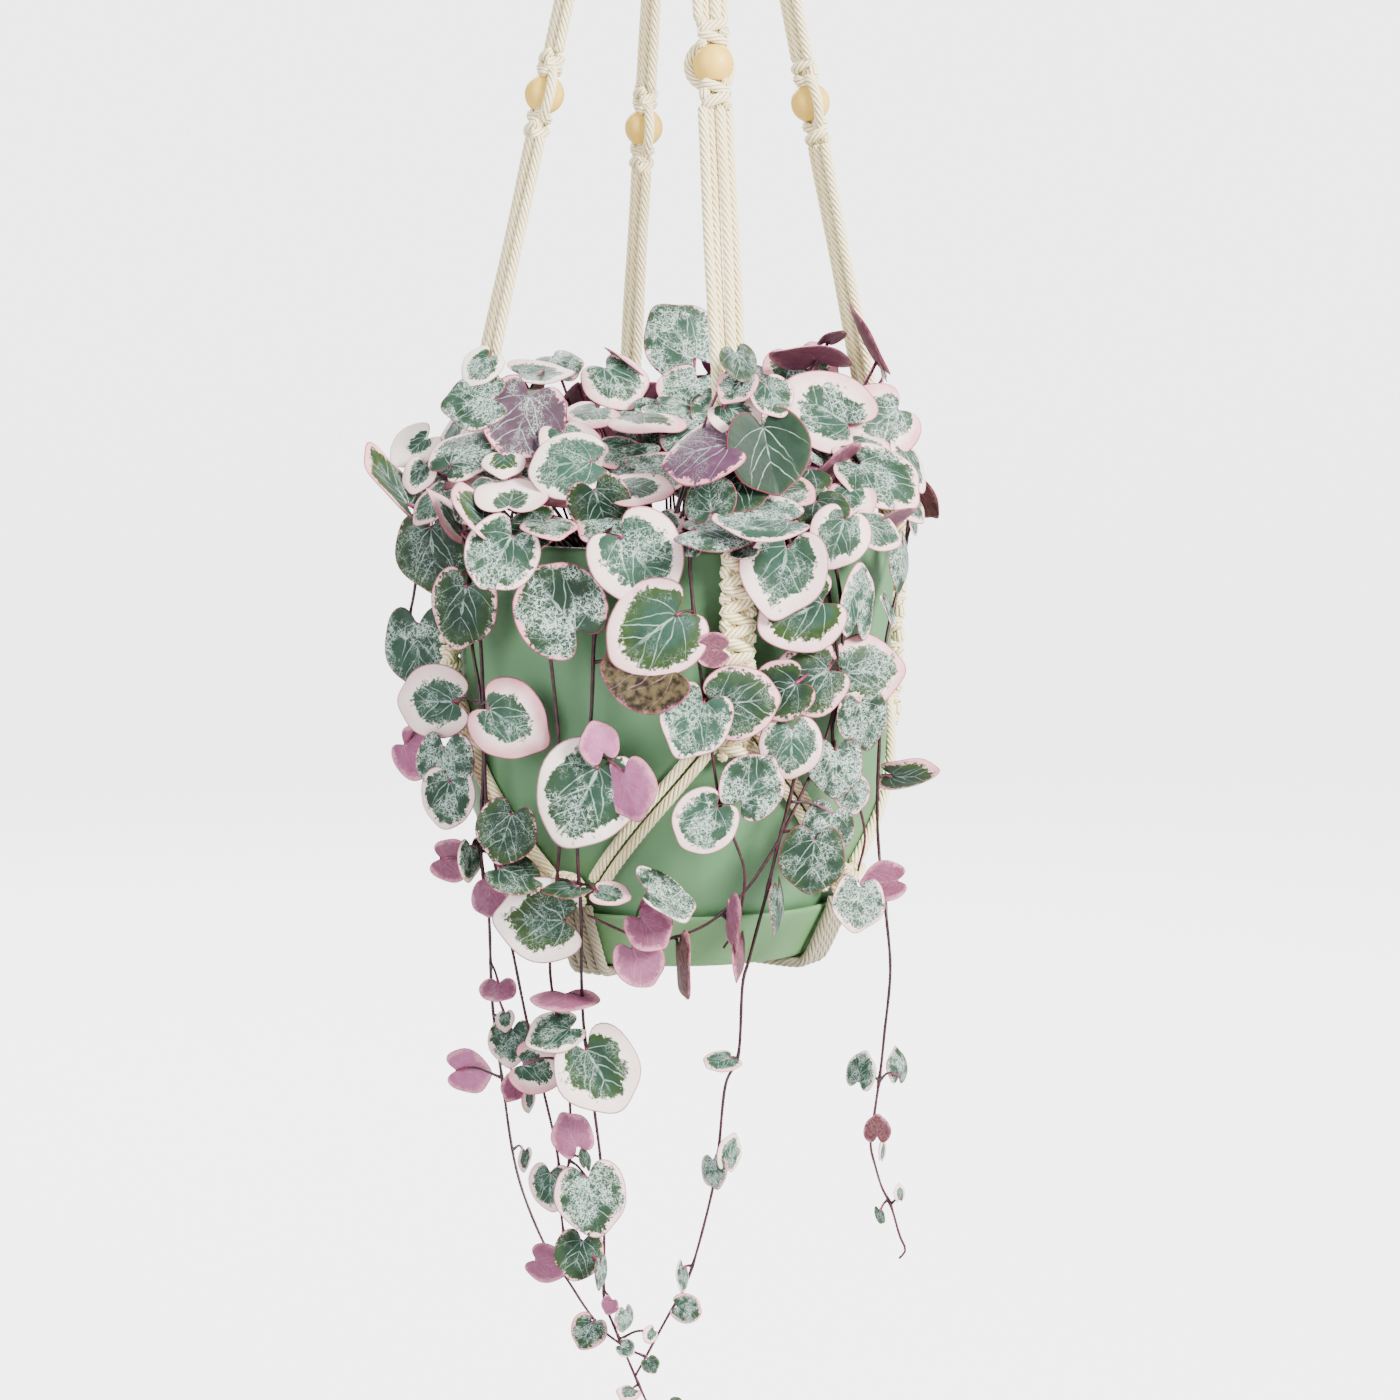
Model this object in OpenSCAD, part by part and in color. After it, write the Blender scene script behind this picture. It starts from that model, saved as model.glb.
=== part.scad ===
// String of hearts in a small pot with a saucer, carried by a four-legged knotted cord hanger.
// Millimetres, +Z up. The origin is where a hook bears on the inside of the hanging ring.
// Places on the plant are given from the middle of the pot's rim: x to the right, y to the
// back, z up. rim_z moves them into the assembly.

/* [Pot and saucer] */
// outer width of the pot at its rim
pot_d = 142; // [138:1:146]
// height of the pot, rim to underside
pot_h = 129.5; // [127:0.5:131]
// thickness of the pot's wall and bottom
wall = 3; // [2:0.25:4]
// outer width of the saucer at its rim
saucer_d = 116.5; // [116:0.5:120]

/* [Hanger] */
// drop from the hook's seat to the pot's rim
rim_drop = 400; // [390:1:430]
// thickness of one hanger cord
cord_d = 3.2; // [3:0.1:3.5]
// inner width of the hanging ring
ring_id = 36; // [32:1:40]
// thickness of the hanging ring's rod
ring_rod = 7; // [6:0.5:8]
// width of a wooden bead
bead_d = 12.5; // [11.5:0.5:13.5]
// bore of a wooden bead
bead_bore = 5; // [4.5:0.25:5.5]
// width of a knotted band
band_w = 11.5; // [10.5:0.5:12.5]
// thickness of a knotted band
band_t = 7; // [6.5:0.25:7.5]

/* [Plant] */
// thickness of a leaf at its middle
leaf_t = 1.4; // [1:0.1:2]
// thickness of a trailing stem
stem_d = 1.6; // [1.2:0.1:2]
// thickness of a leaf stalk
stalk_d = 1; // [0.8:0.1:1.2]

/* [Hidden] */
$fn = 64;

rim_z = -rim_drop;
pot_r = pot_d/2;
band_h = 65;             // length of a knotted band, rim downwards
half_knot = 4;           // rise of one half knot
knot_h = 7.5;            // height of one square knot
wrap_top = -66;          // the wrap knot under the ring
wrap_low = -96;
wrap_r = 11.5;
leg_in = 8;              // a leg's distance from the axis at the wrap
leg_out = pot_r + 2;     // and at the rim
leg_low = rim_z + 3;
leg_tilt = atan((leg_out - leg_in) / (wrap_low - leg_low));
// the legs: left, back, front, right. Each has its bearing, the height of its bead above the
// rim, and the turn of its row of four cords (0 lies along the rim, 90 points at the axis).
legs = [[195, 139, 0], [105, 131, 90], [285, 147, 0], [15, 138, 0]];
row = [for (k = [0:3]) cord_d*[k % 2 == 0 ? 0.26 : -0.26, 0.88*(k - 1.5)]];
cradle_z = -107;         // middle of a cradle knot, below the rim
soil_z = -8;

// outer radius of the pot at a height z below the rim: a slight taper, then a round belly
taper_z = -70;
taper = 0.032;
belly = 20.3;
function pot_at(z) = z > taper_z ? pot_r + taper*z
    : pot_r + taper*taper_z - belly*pow((taper_z - z)/(pot_h + taper_z), 1.6);

function unit(v) = v / norm(v);
function frac(v) = v - floor(v);
function hash(i, s) = frac(abs(sin(i*127.1 + s*311.7)) * 437.58);

// ---------------------------------------------------------------- thin solids from points
// Each is a pair of points and faces, and islands() makes one solid of every pair.
function carry(d, u, i = 0) = i >= len(d) ? []
    : let (v = unit(u - (u*d[i])*d[i])) concat([v], carry(d, v, i + 1));

function tube(path, r, n) = let (
    m = len(path),
    d = [for (i = [0:m-1]) unit(path[min(i+1, m-1)] - path[max(i-1, 0)])],
    u = carry(d, [0.31, 0.83, 0.46]))
    [[for (i = [0:m-1]) for (k = [0:n-1])
        path[i] + r*(u[i]*cos(360*k/n) + cross(d[i], u[i])*sin(360*k/n))],
     concat([[for (k = [0:n-1]) k]], [[for (k = [n-1:-1:0]) (m-1)*n + k]],
        [for (i = [0:m-2]) for (k = [0:n-1]) let (a = i*n + k, b = i*n + (k+1)%n)
            each [[a, a+n, b+n], [a, b+n, b]]])];

function begins(parts, i = 0, at = 0) =
    i >= len(parts) ? [] : concat([at], begins(parts, i + 1, at + len(parts[i][0])));

module islands(parts) {
    at = begins(parts);
    polyhedron(points = [for (p = parts) for (v = p[0]) v + [0, 0, rim_z]],
        faces = [for (i = [0:len(parts)-1]) for (f = parts[i][1]) [for (v = f) v + at[i]]],
        convexity = 10);
}

// ---------------------------------------------------------------- leaves
// A leaf is [x, y, z, width, facing, lift, turn]. facing is the bearing of its upper side,
// 0 to the front and 90 to the right; lift tips that side up; turn swings the tip from
// straight down towards the right.
function leaf_n(l) = [sin(l[4])*cos(l[5]), -cos(l[4])*cos(l[5]), sin(l[5])];
function leaf_tip(l) =
    cos(l[6])*[sin(l[4])*sin(l[5]), -cos(l[4])*sin(l[5]), -cos(l[5])]
    + sin(l[6])*[cos(l[4]), sin(l[4]), 0];
// heart outline: a small point at 0 degrees, a notch at 180
function heart(a) = 0.5 + 0.07*exp(-pow(a/18, 2)) - 0.25*exp(-pow((180 - a)/16, 2))
    + 0.03*exp(-pow((a - 140)/25, 2));
function notch(l) = [l[0], l[1], l[2]] - (heart(180)*l[3] + 0.5)*leaf_tip(l);

function leaf(l) = let (c = [l[0], l[1], l[2]], n = leaf_n(l), t = leaf_tip(l), s = cross(n, t))
    [concat([c + 0.64*leaf_t*n, c - 0.36*leaf_t*n],
        [for (k = [0:11]) let (a = 30*k)
            c + l[3]*heart(a > 180 ? 360 - a : a)*(cos(a)*t + sin(a)*s)]),
     [for (k = [0:11]) each [[0, 2 + (k+1)%12, 2 + k], [1, 2 + k, 2 + (k+1)%12]]]];

function near_on(p, a, b) = a + max(0, min(1, (p - a)*(b - a)/((b - a)*(b - a))))*(b - a);
function closest(p, route) = let (
    q = [for (i = [0:len(route)-2]) near_on(p, route[i], route[i+1])],
    g = [for (v = q) norm(v - p)]) q[search(min(g), g)[0]];
function stalk(from, to) = tube([from, to - 0.5*(stem_d + stalk_d)*unit(to - from)], stalk_d/2, 3);

// crown leaves stand on stalks that rise from the soil
function tuft(leaves) = [for (l = leaves)
    each [leaf(l), stalk(notch(l), len(l) > 7 ? l[7] : [0.62*l[0], 0.62*l[1], soil_z + 3])]];

// ---------------------------------------------------------------- trailing vines
// distance from the axis at which the vines hang: outside the pot, then drawing in below it
function drape(z) = lookup(z, [[-300, 47], [-250, 51], [-200, 57], [-160, 60], [-130, 68],
    [-95, 78], [-10, 79], [10, 76], [30, 68]]);
function hang(x, z, more) = [x, -sqrt(max(pow(drape(z) + more, 2) - x*x, 100)), z];
// the stem starts in the soil, climbs over the rim and follows its own points [x, z]
function stem_path(pts) = let (a = hang(pts[0][0], pts[0][1], 0))
    concat([[0.6*a[0], 0.6*a[1], soil_z + 3], [0.85*a[0], 0.85*a[1], max(a[2] + 1.5, 4)]],
        [for (p = pts) hang(p[0], p[1], p[1] < -100 && p[0] > 60 ? 14 : 0)]);
module front_vine(pts, leaves) {
    path = stem_path(pts);
    placed = [for (l = leaves) let (c = hang(l[0], l[1], l[1] < -100 && l[0] > 54 ? 16 : 5))
        [c[0], c[1], c[2], l[2], l[3], l[4], l[5]]];
    islands(concat([tube(path, stem_d/2, 5)], [for (l = placed) leaf(l)],
        [for (l = placed) if (norm(closest(notch(l), path) - notch(l)) > 3)
            stalk(notch(l), closest(notch(l), path))]));
}

// back vines carry pairs of leaves that get smaller towards the tip
function far_leaf(bearing, z, w, side, i) = let (
    r = drape(z) + 3 + 3*hash(i, 1), off = side*(0.45*w + 3)/r*57.3, b = bearing + off)
    [r*cos(b), r*sin(b), z - 0.2*w, w, bearing + 90 + 50*(hash(i, 2) - 0.5),
     50*(hash(i, 3) - 0.4), side*(50 + 40*hash(i, 4))];
module far_vine(bearing, low, seed) {
    path = concat([[46*cos(bearing), 46*sin(bearing), soil_z + 3],
            [65*cos(bearing), 65*sin(bearing), 10]],
        [for (z = [2:-20:low]) let (b = bearing + 3*sin(3*z + 60*seed))
            [drape(z)*cos(b), drape(z)*sin(b), z]]);
    leaves = [for (z = [-6 - 10*(seed % 2):-21:low], side = [-1, 1]) let (i = seed*100 - z + side,
        w = (1 - 0.62*z/low)*(23 + 6*hash(i, 5))) far_leaf(bearing + 3*sin(3*z + 60*seed), z, w, side, i)];
    islands(concat([tube(path, stem_d/2, 5)], [for (l = leaves) leaf(l)],
        [for (l = leaves) stalk(notch(l), closest(notch(l), path))]));
}

// ---------------------------------------------------------------- hanger pieces
module rounded_block(w, h, t, r) {
    rotate([90, 0, 90]) linear_extrude(t, center = true) {
        square([w - 2*r, h], center = true);
        square([w, h - 2*r], center = true);
        for (sx = [-1, 1], sy = [-1, 1]) translate([sx*(w/2 - r), sy*(h/2 - r)]) circle(r);
    }
}
// a frame on a leg's line at a height z (from the rim): its Z runs up along the cords,
// its Y along the row
module on_leg(leg, z) {
    rotate([0, 0, leg[0]])
        translate([leg_in + (wrap_low - rim_z - z)*tan(leg_tilt), 0, rim_z + z])
            rotate([0, -leg_tilt, 0]) rotate([0, 0, leg[2]]) children();
}
// distance from a bead's middle to the middle of a knot beside it
knot_off = sqrt(bead_d*bead_d - bead_bore*bead_bore)/2 + 0.1 + knot_h/2;
module cord_row(leg, z, length) {
    on_leg(leg, z) for (p = row) translate([p[0], p[1], -length]) cylinder(d = cord_d, h = length);
}

module hanging_ring() {
    color("burlywood") translate([0, 0, -ring_id/2]) rotate([90, 0, 0])
        rotate_extrude() translate([(ring_id + ring_rod)/2, 0]) circle(d = ring_rod);
}
// eight cords folded over the bottom of the ring
module ring_strands() {
    mid = (ring_id + ring_rod)/2;
    fold = (ring_rod + cord_d)/2 + 0.2;
    color("linen") islands([for (i = [0:7]) let (
        a = 15*(i - 3.5), e = [sin(a), 0, -cos(a)], c = [0, 0, -ring_id/2 - rim_z] + mid*e,
        x = 1.9*(i - 3.5), y = 2.5 + 3.6*(i % 2), low = wrap_top + 0.1 - rim_z)
        tube(concat([[x, -y, low], [0.5*(x + c[0]), -0.5*(y + fold), 0.5*(low + c[2])]],
            [for (f = [-90:30:90]) c - fold*cos(f)*e + [0, fold*sin(f), 0]],
            [[0.5*(x + c[0]), 0.5*(y + fold), 0.5*(low + c[2])], [x, y, low]]), cord_d/2, 8)]);
}
module top_wrap() {
    r = 2;
    color("linen") translate([0, 0, wrap_low]) rotate_extrude() {
        square([wrap_r - r, wrap_top - wrap_low]);
        translate([0, r]) square([wrap_r, wrap_top - wrap_low - 2*r]);
        translate([wrap_r - r, r]) circle(r);
        translate([wrap_r - r, wrap_top - wrap_low - r]) circle(r);
    }
}
module upper_cords(leg) {
    top = wrap_low - rim_z - 0.3;
    color("linen") cord_row(leg, top, (top - leg[1])/cos(leg_tilt) - knot_off - knot_h/2 - 0.1);
}
module bead(leg) {
    color("wheat") on_leg(leg, leg[1]) difference() {
        sphere(d = bead_d);
        translate([0, 0, -bead_d]) cylinder(d = bead_bore, h = 2*bead_d);
    }
}
// a square knot above and below the bead, two cords through its bore, two around it
module bead_knots(leg) {
    color("linen") on_leg(leg, leg[1]) {
        for (s = [-1, 1]) translate([0, 0, s*knot_off]) rounded_block(band_w, knot_h, band_t, 2.5);
        translate([0, 0, -knot_off]) cylinder(d = bead_bore - 0.4, h = 2*knot_off);
        for (s = [0, 1]) mirror([0, s, 0]) rotate([0, -90, 0])
            rotate_extrude(angle = 180) translate([(bead_d + cord_d)/2 + 0.2, 0]) circle(d = cord_d);
    }
}
module lower_cords(leg) {
    start = leg[1] - (knot_off + knot_h/2 + 0.1)*cos(leg_tilt);
    color("linen") cord_row(leg, start, (start - leg_low + rim_z)/cos(leg_tilt));
}
// a band of eight square knots lying on the pot, scalloped by its half knots
module knot_band(leg) {
    n = 16;
    side = [for (k = [0:4*n]) [band_w/2 - 0.9*pow(abs(cos(45*k)), 1.5), -band_h*k/(4*n)]];
    color("linen") rotate([0, 0, leg[0]])
        translate([pot_r + 0.3, 0, rim_z + 2]) rotate([0, atan(taper), 0])
            rotate([90, 0, 90]) linear_extrude(band_t)
                polygon(concat(side, [for (k = [4*n:-1:0]) [-side[k][0], side[k][1]]]));
}
// two pairs of cords that part below a band and hug the pot to the cradle knots
module branch_cords(leg) {
    color("linen") islands([for (dir = [-1, 1], lane = [-2.25, 2.25])
        tube([for (k = [0:8]) let (z = -60 + lane + (cradle_z + 60)*k/8,
            b = leg[0] + dir*(6.6 + 31.8*k/8), r = pot_at(z) + cord_d/2 + 0.5)
            [r*cos(b), r*sin(b), z]], cord_d/2, 8)]);
}
cradle_tilt = 24;
module cradle_knot(bearing) {
    color("linen") rotate([0, 0, bearing])
        translate([pot_at(cradle_z) + 5, 0, rim_z + cradle_z]) rotate([0, cradle_tilt, 0])
            rounded_block(13, 8.5, 7, 3);
}
// four cords side by side, over the saucer and under it to the middle
base_route = [[61.5, -112.6], [60.8, -116.5], [57.6, -123.5], [54.2, -130.5], [52, -134],
    [48, -135.4], [32, -135.4], [15.4, -135.4]];
module base_cords(bearing) {
    color("linen") islands([for (lane = [-5.2, -1.75, 1.75, 5.2]) tube([for (p = base_route)
        [p[0]*cos(bearing) - lane*sin(bearing), p[0]*sin(bearing) + lane*cos(bearing), p[1]]],
        cord_d/2, 8)]);
}
module base_knot() {
    h = 5.5;
    r = 2.5;
    color("linen") translate([0, 0, rim_z - 133.2 - h]) rotate_extrude() {
        square([15 - r, h]);
        translate([0, r]) square([15, h - 2*r]);
        translate([15 - r, r]) circle(r);
        translate([15 - r, h - r]) circle(r);
    }
}

// ---------------------------------------------------------------- pot, saucer, soil
function pot_line(inset, low) = concat([for (z = [0, taper_z]) [pot_at(z) - inset, z]],
    [for (k = [1:10]) let (z = taper_z + (low - taper_z)*k/10) [pot_at(z) - inset, z]]);
module pot() {
    in = pot_line(wall, wall - pot_h);
    color("darkseagreen") translate([0, 0, rim_z]) rotate_extrude($fn = 96) {
        polygon(concat([[0, -pot_h]], [for (k = [11:-1:1]) pot_line(0, -pot_h)[k]],
            [[pot_r, -wall/2], [pot_r - wall, -wall/2]],
            [for (k = [1:11]) in[k]], [[0, wall - pot_h]]));
        translate([pot_r - wall/2, -wall/2]) circle(d = wall);
    }
}
module saucer() {
    r = saucer_d/2;
    color("darkseagreen") translate([0, 0, rim_z]) rotate_extrude($fn = 96)
        polygon([[0, -133], [49.5, -133], [51, -130.5], [r, -116], [r - 0.3, -115.5], [r - 1.2, -115.5],
            [r - 1.6, -116], [49.3, -129.6], [0, -129.6]]);
}
module soil() {
    edge = [for (k = [1:11]) pot_line(wall + 0.1, wall + 0.1 - pot_h)[k]];
    color("saddlebrown") translate([0, 0, rim_z]) rotate_extrude($fn = 96)
        polygon(concat([[0, wall + 0.1 - pot_h]], [for (k = [10:-1:0]) edge[k]],
            [[pot_at(soil_z) - wall - 0.1, soil_z]],
            [for (x = [60:-15:0]) [x, soil_z + 6*cos(1.3*x)]]));
}

// ---------------------------------------------------------------- the crown
// the front leg comes down among these, so their stalks rise on either side of it
side_l = [-4, -65, -4];
side_r = [37, -54, -4];
leg_leaves = [
    [19, -71, 57, 12, 20, 25, 10, side_l], [19, -72, 50, 13, -20, 30, -30, side_l],
    [29, -71, 47, 14, 10, 30, 20, side_r], [10, -76, 31, 27, -30, 45, -70, side_l],
    [28, -75, 31, 26, 10, 12, 10, side_r], [11, -80, 16, 17, -25, 35, -160, side_l],
    [27, -85, 10, 28, 5, 66, -85, [38, -40, -4]], [12, -84, 7, 24, 0, 68, 80, [0, -45, -4]],
    [21, -84, 1, 9, 0, 50, -60, [31, -66, 4]], [18, -70, 42, 16, 0, 20, 60, side_l],
    [20, -75, 20, 20, 0, 40, -20, side_r]];
// leaves lower in the mound, between the others
inner_leaves = [
    [-40, -45, 20, 22, 10, 50, 30], [-13, -42, 24, 22, -20, 55, -60], [3, -50, 20, 20, 20, 50, 40],
    [-31, -38, 27, 20, 0, 50, -30], [-56, -34, 22, 22, -10, 50, 60], [37, -50, 22, 22, 10, 50, -60],
    [60, -32, 28, 22, 20, 50, 40], [30, -32, 32, 22, 0, 50, 60], [6, -30, 32, 22, 0, 55, -20],
    [-16, -55, 13, 18, 0, 50, 0], [52, -14, 34, 22, 10, 50, 20], [-45, -22, 30, 22, 0, 50, -50],
    [-10, -8, 36, 22, 0, 50, 40], [14, -12, 38, 20, 20, 50, -50], [36, -8, 40, 20, -10, 50, 40],
    [-62, -52, 14, 18, -30, 40, 40], [-44, -66, 6, 18, -20, 40, -60], [62, -60, 6, 16, 30, 40, 60],
    [-70, -22, 22, 20, -40, 45, -20], [72, -40, 14, 16, 50, 40, 20]];
front_leaves = [
    [-66, -35, 27, 23, -20, 50, 150], [-53, -45, 25, 14, 0, 60, 0], [-50, -60, 14, 23, 0, 67, 175],
    [-32, -55, 25, 25, -5, 35, -80], [-11, -60, 18, 20, 0, 62, 90], [-23, -66, 14, 20, 10, -30, 20],
    [-88, -35, 16, 27, 70, 41, 180], [-69, -55, 8, 20, 75, 35, 180], [-59, -65, 10, 23, 62, 42, 170],
    [-52, -74, -1, 23, 0, 10, -30], [50, -40, 25, 19, -120, 48, 180],
    [63, -42, 21, 27, 20, 45, 40], [54, -52, 15, 17, 0, 50, 0], [50, -72, 5, 19, 5, 15, -20],
    [33, -60, 17, 20, -5, 62, 60], [67, -50, 9, 16, 230, 60, 180], [-38, -70, 7, 18, 0, 75, 20],
    [5, -77, 2, 8, 0, 40, 30],
    [-6, -50, 22, 24, 0, 60, 80], [-21, -66, 7, 18, 5, 60, -40], [37, -35, 21, 17, 190, -10, 0],
    [-75, -40, 12, 16, -40, 40, -20], [45, -62, 12, 18, -10, 55, 30], [-5, -70, 8, 17, -10, 60, 20]];
middle_leaves = [
    [-61, -27, 54, 14, -20, 30, -30], [-62, -32, 43, 20, -10, 30, -80], [-44, -10, 42, 19, 10, 62, 60],
    [-48, -30, 38, 28, 10, 25, -20],
    [-82, -20, 28, 17, -20, 35, -40], [-80, -30, 20, 13, -30, 30, 0], [-20, 5, 49, 22, 5, 40, 30],
    [4, 0, 46, 21, 0, 45, -30], [8, -10, 42, 13, -50, 30, 30], [-18, -35, 28, 19, 5, 60, 60],
    [-27, -20, 39, 19, 10, 68, -30],
    [-9, -25, 38, 25, 0, 78, 40], [43, -30, 30, 15, 50, 35, 0], [43, 0, 58, 27, 170, 72, 175],
    [50, 3, 63, 10, 215, 60, 180], [61, -5, 61, 25, 95, 29, 180], [66, -5, 54, 11, 80, 15, 180],
    [48, -25, 40, 29, 5, 30, -125], [66, -20, 38, 26, 25, 25, -60], [-55, -20, 33, 20, -20, 45, 30],
    [-33, -35, 30, 20, 10, 50, 20], [18, -25, 36, 18, 0, 55, -40], [-2, -12, 40, 18, 10, 60, 40],
    [56, -15, 44, 16, 30, 50, 120], [-70, -10, 33, 19, -60, 35, 10], [74, -22, 24, 18, 60, 30, 0]];
back_leaves = concat([
    [-46, 10, 50, 21, 10, 70, 80], [-39, 25, 54, 17, 0, 60, 30],
    [-15, 15, 53, 19, 100, 50, 180], [2, 15, 61, 26, 5, 15, -145], [20, 25, 50, 16, 10, 40, 0],
    [40, 10, 51, 25, 0, 40, 10]],
    // the far side of the mound, spiralling outwards
    [for (i = [0:31]) let (b = -8 + frac(0.382*i)*196, r = 30 + 52*sqrt(i/31),
        top = 57 - 0.0072*r*r) [r*cos(b), max(r*sin(b), 12), top + 4*hash(i, 7), 18 + 9*hash(i, 8),
        b + 90 + 60*(hash(i, 9) - 0.5), 78 - 0.75*r + 24*(hash(i, 10) - 0.5), 120*(hash(i, 11) - 0.5)]]);

// ---------------------------------------------------------------- the assembly
hanging_ring();
ring_strands();
top_wrap();
upper_cords(legs[0]);  // upper_cords_1
upper_cords(legs[1]);  // upper_cords_2
upper_cords(legs[2]);  // upper_cords_3
upper_cords(legs[3]);  // upper_cords_4
bead(legs[0]);  // bead_1
bead(legs[1]);  // bead_2
bead(legs[2]);  // bead_3
bead(legs[3]);  // bead_4
bead_knots(legs[0]);  // bead_knots_1
bead_knots(legs[1]);  // bead_knots_2
bead_knots(legs[2]);  // bead_knots_3
bead_knots(legs[3]);  // bead_knots_4
lower_cords(legs[0]);  // lower_cords_1
lower_cords(legs[1]);  // lower_cords_2
lower_cords(legs[2]);  // lower_cords_3
lower_cords(legs[3]);  // lower_cords_4
knot_band(legs[0]);  // knot_band_1
knot_band(legs[1]);  // knot_band_2
knot_band(legs[2]);  // knot_band_3
knot_band(legs[3]);  // knot_band_4
branch_cords(legs[0]);  // branch_cords_1
branch_cords(legs[1]);  // branch_cords_2
branch_cords(legs[2]);  // branch_cords_3
branch_cords(legs[3]);  // branch_cords_4
cradle_knot(150);  // cradle_knot_1
cradle_knot(60);  // cradle_knot_2
cradle_knot(240);  // cradle_knot_3
cradle_knot(330);  // cradle_knot_4
base_cords(150);  // base_cords_1
base_cords(60);  // base_cords_2
base_cords(240);  // base_cords_3
base_cords(330);  // base_cords_4
base_knot();
pot();
saucer();
soil();
color("seagreen")  // crown_front
    islands(tuft(concat(front_leaves, leg_leaves)));
color("seagreen")  // crown_middle
    islands(tuft(concat(middle_leaves, inner_leaves)));
color("seagreen") islands(tuft(back_leaves));  // crown_back
color("seagreen") front_vine(  // vine_a
    [[-77, 5], [-81, -3], [-84, -20], [-85, -28], [-82, -42], [-78, -55], [-75, -67], [-72, -78]],
    [[-76, -3, 26, -15, 5, 8], [-82, -35, 26, -20, 5, 5], [-84, -71, 18, 150, -10, -60],
     [-72, -70, 21, -25, 0, 0], [-71, -80, 19, -20, 0, -10]]);
color("seagreen") front_vine(  // vine_b
    [[-66, 4], [-64, -7], [-63, -30], [-60, -48], [-59, -67], [-60, -96], [-58, -118], [-58, -150],
     [-55, -176], [-50, -205], [-41, -226], [-32, -238], [-27, -245], [-21, -252], [-13, -257],
     [-8, -259]],
    [[-65, -19, 24, -25, 0, -10], [-75, -51, 24, -20, 0, -88], [-51, -53, 25, -10, 0, 58],
     [-51, -87, 20, -15, 0, -20], [-70, -101, 14, 170, -5, -80], [-63, -98, 14, 60, 0, 0],
     [-57, -110, 12, 175, -20, 0], [-49, -101, 17, 10, 50, 60], [-55, -142, 12, 180, -60, 0],
     [-53, -152, 7, 30, 0, 0], [-67, -176, 16, 160, 10, -90], [-51, -159, 15, 0, 30, 0],
     [-50, -174, 9, 190, -10, 30], [-45, -177, 8, 60, 0, 10], [-47, -197, 8, 60, 0, -10],
     [-40, -231, 13, 170, 0, -70], [-26, -251, 12, -10, 0, -25], [-14, -255, 6, 0, 20, 60],
     [-6, -260, 6, 10, 0, 30]]);
color("seagreen") front_vine(  // vine_c
    [[-66, 3], [-61, -18], [-59, -49], [-58, -81], [-54, -109], [-50, -130], [-46, -152],
     [-41, -173], [-36, -195], [-35, -213], [-34, -222]],
    [[-77, 22, 19, -20, 30, -30], [-29, -225, 16, 0, 10, -15], [-22, -230, 11, 70, 0, 0],
     [-38, -204, 16, -20, 0, 0]]);
color("seagreen") front_vine(  // vine_d
    [[-44, 3], [-40, -16], [-36, -46], [-34, -77], [-36, -109], [-38, -134], [-34, -159],
     [-32, -176], [-32, -194], [-33, -199]],
    [[-40, -115, 27, -5, 5, -90], [-32, -104, 15, 0, 80, -60], [-36, -153, 18, -10, 55, -60],
     [-43, -166, 17, 15, 15, 70], [-31, -186, 14, 165, -10, 150], [-27, -193, 8, 70, 20, 150],
     [-25, -205, 23, 5, 5, 12]]);
color("seagreen") front_vine(  // vine_e
    [[-21, 4], [-21, -2], [-22, -12], [-24, -27], [-25, -52], [-28, -64], [-29, -91], [-28, -113],
     [-28, -137], [-27, -156], [-24, -179], [-22, -196], [-21, -218], [-21, -242], [-19, -247],
     [-11, -266], [-7, -275], [-4, -281]],
    [[-11, -1, 29, 5, 5, 39], [-34, -18, 29, -10, 10, -140], [-7, -35, 27, 180, -15, 90],
     [-26, -73, 32, -3, 5, -25], [-22, -58, 13, 200, 0, 160], [-13, -71, 19, 150, 0, -20],
     [-19, -105, 12, 0, 60, 70], [-33, -141, 22, 180, -84, 0], [-23, -163, 27, 5, 5, 29],
     [-14, -245, 9, 50, 0, 0], [-19, -241, 6, 160, 0, 20], [-6, -250, 6, 40, 10, -60],
     [-13, -270, 8, 20, 70, -50], [2, -274, 6, 20, 20, 60], [-2, -286, 7, 0, 20, 30]]);
color("seagreen") front_vine(  // vine_f
    [[47, 3], [52, -25], [48, -55], [39, -76], [33, -88], [27, -98], [22, -105], [17, -110], [9, -116],
     [-2, -120], [-9, -120], [-19, -116], [-26, -113]],
    [[-3, -105, 22, 60, 45, 60], [-7, -115, 15, 190, -10, -40], [-10, -126, 16, 180, -5, -30],
     [3, -127, 20, 104, 0, -30], [18, -113, 17, 105, 0, -20], [21, -124, 16, -105, 0, 10]]);
color("seagreen") front_vine(  // vine_g
    [[5, 3], [5, -6], [7, -26], [9, -41], [10, -46], [12, -61], [15, -79], [19, -88], [22, -97],
     [22, -105], [20, -116], [16, -123]],
    [[-5, -23, 30, 3, 5, -53], [7, -50, 22, -3, 5, -25], [20, -45, 23, 5, 5, 95],
     [10, -81, 20, 0, 5, -43], [24, -71, 20, 5, 5, 143], [12, -29, 11, 185, 0, 90]]);
color("seagreen") front_vine(  // vine_h
    [[35, 3], [38, -15], [41, -46], [37, -71], [32, -92], [29, -106], [24, -127], [22, -136],
     [21, -159], [17, -169], [15, -190], [13, -204], [8, -225], [4, -237], [0, -244], [-8, -260],
     [-11, -266]],
    [[36, -59, 20, 10, 0, 0], [43, -94, 21, 10, 0, -5], [48, -85, 17, 15, 5, -20],
     [33, -109, 18, 76, 0, 0], [16, -160, 12, 15, 70, -60], [18, -190, 12, 50, 0, 160],
     [14, -195, 11, -40, 10, 20], [4, -230, 10, 70, 10, -35], [5, -241, 10, -10, 0, 80]]);
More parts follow.
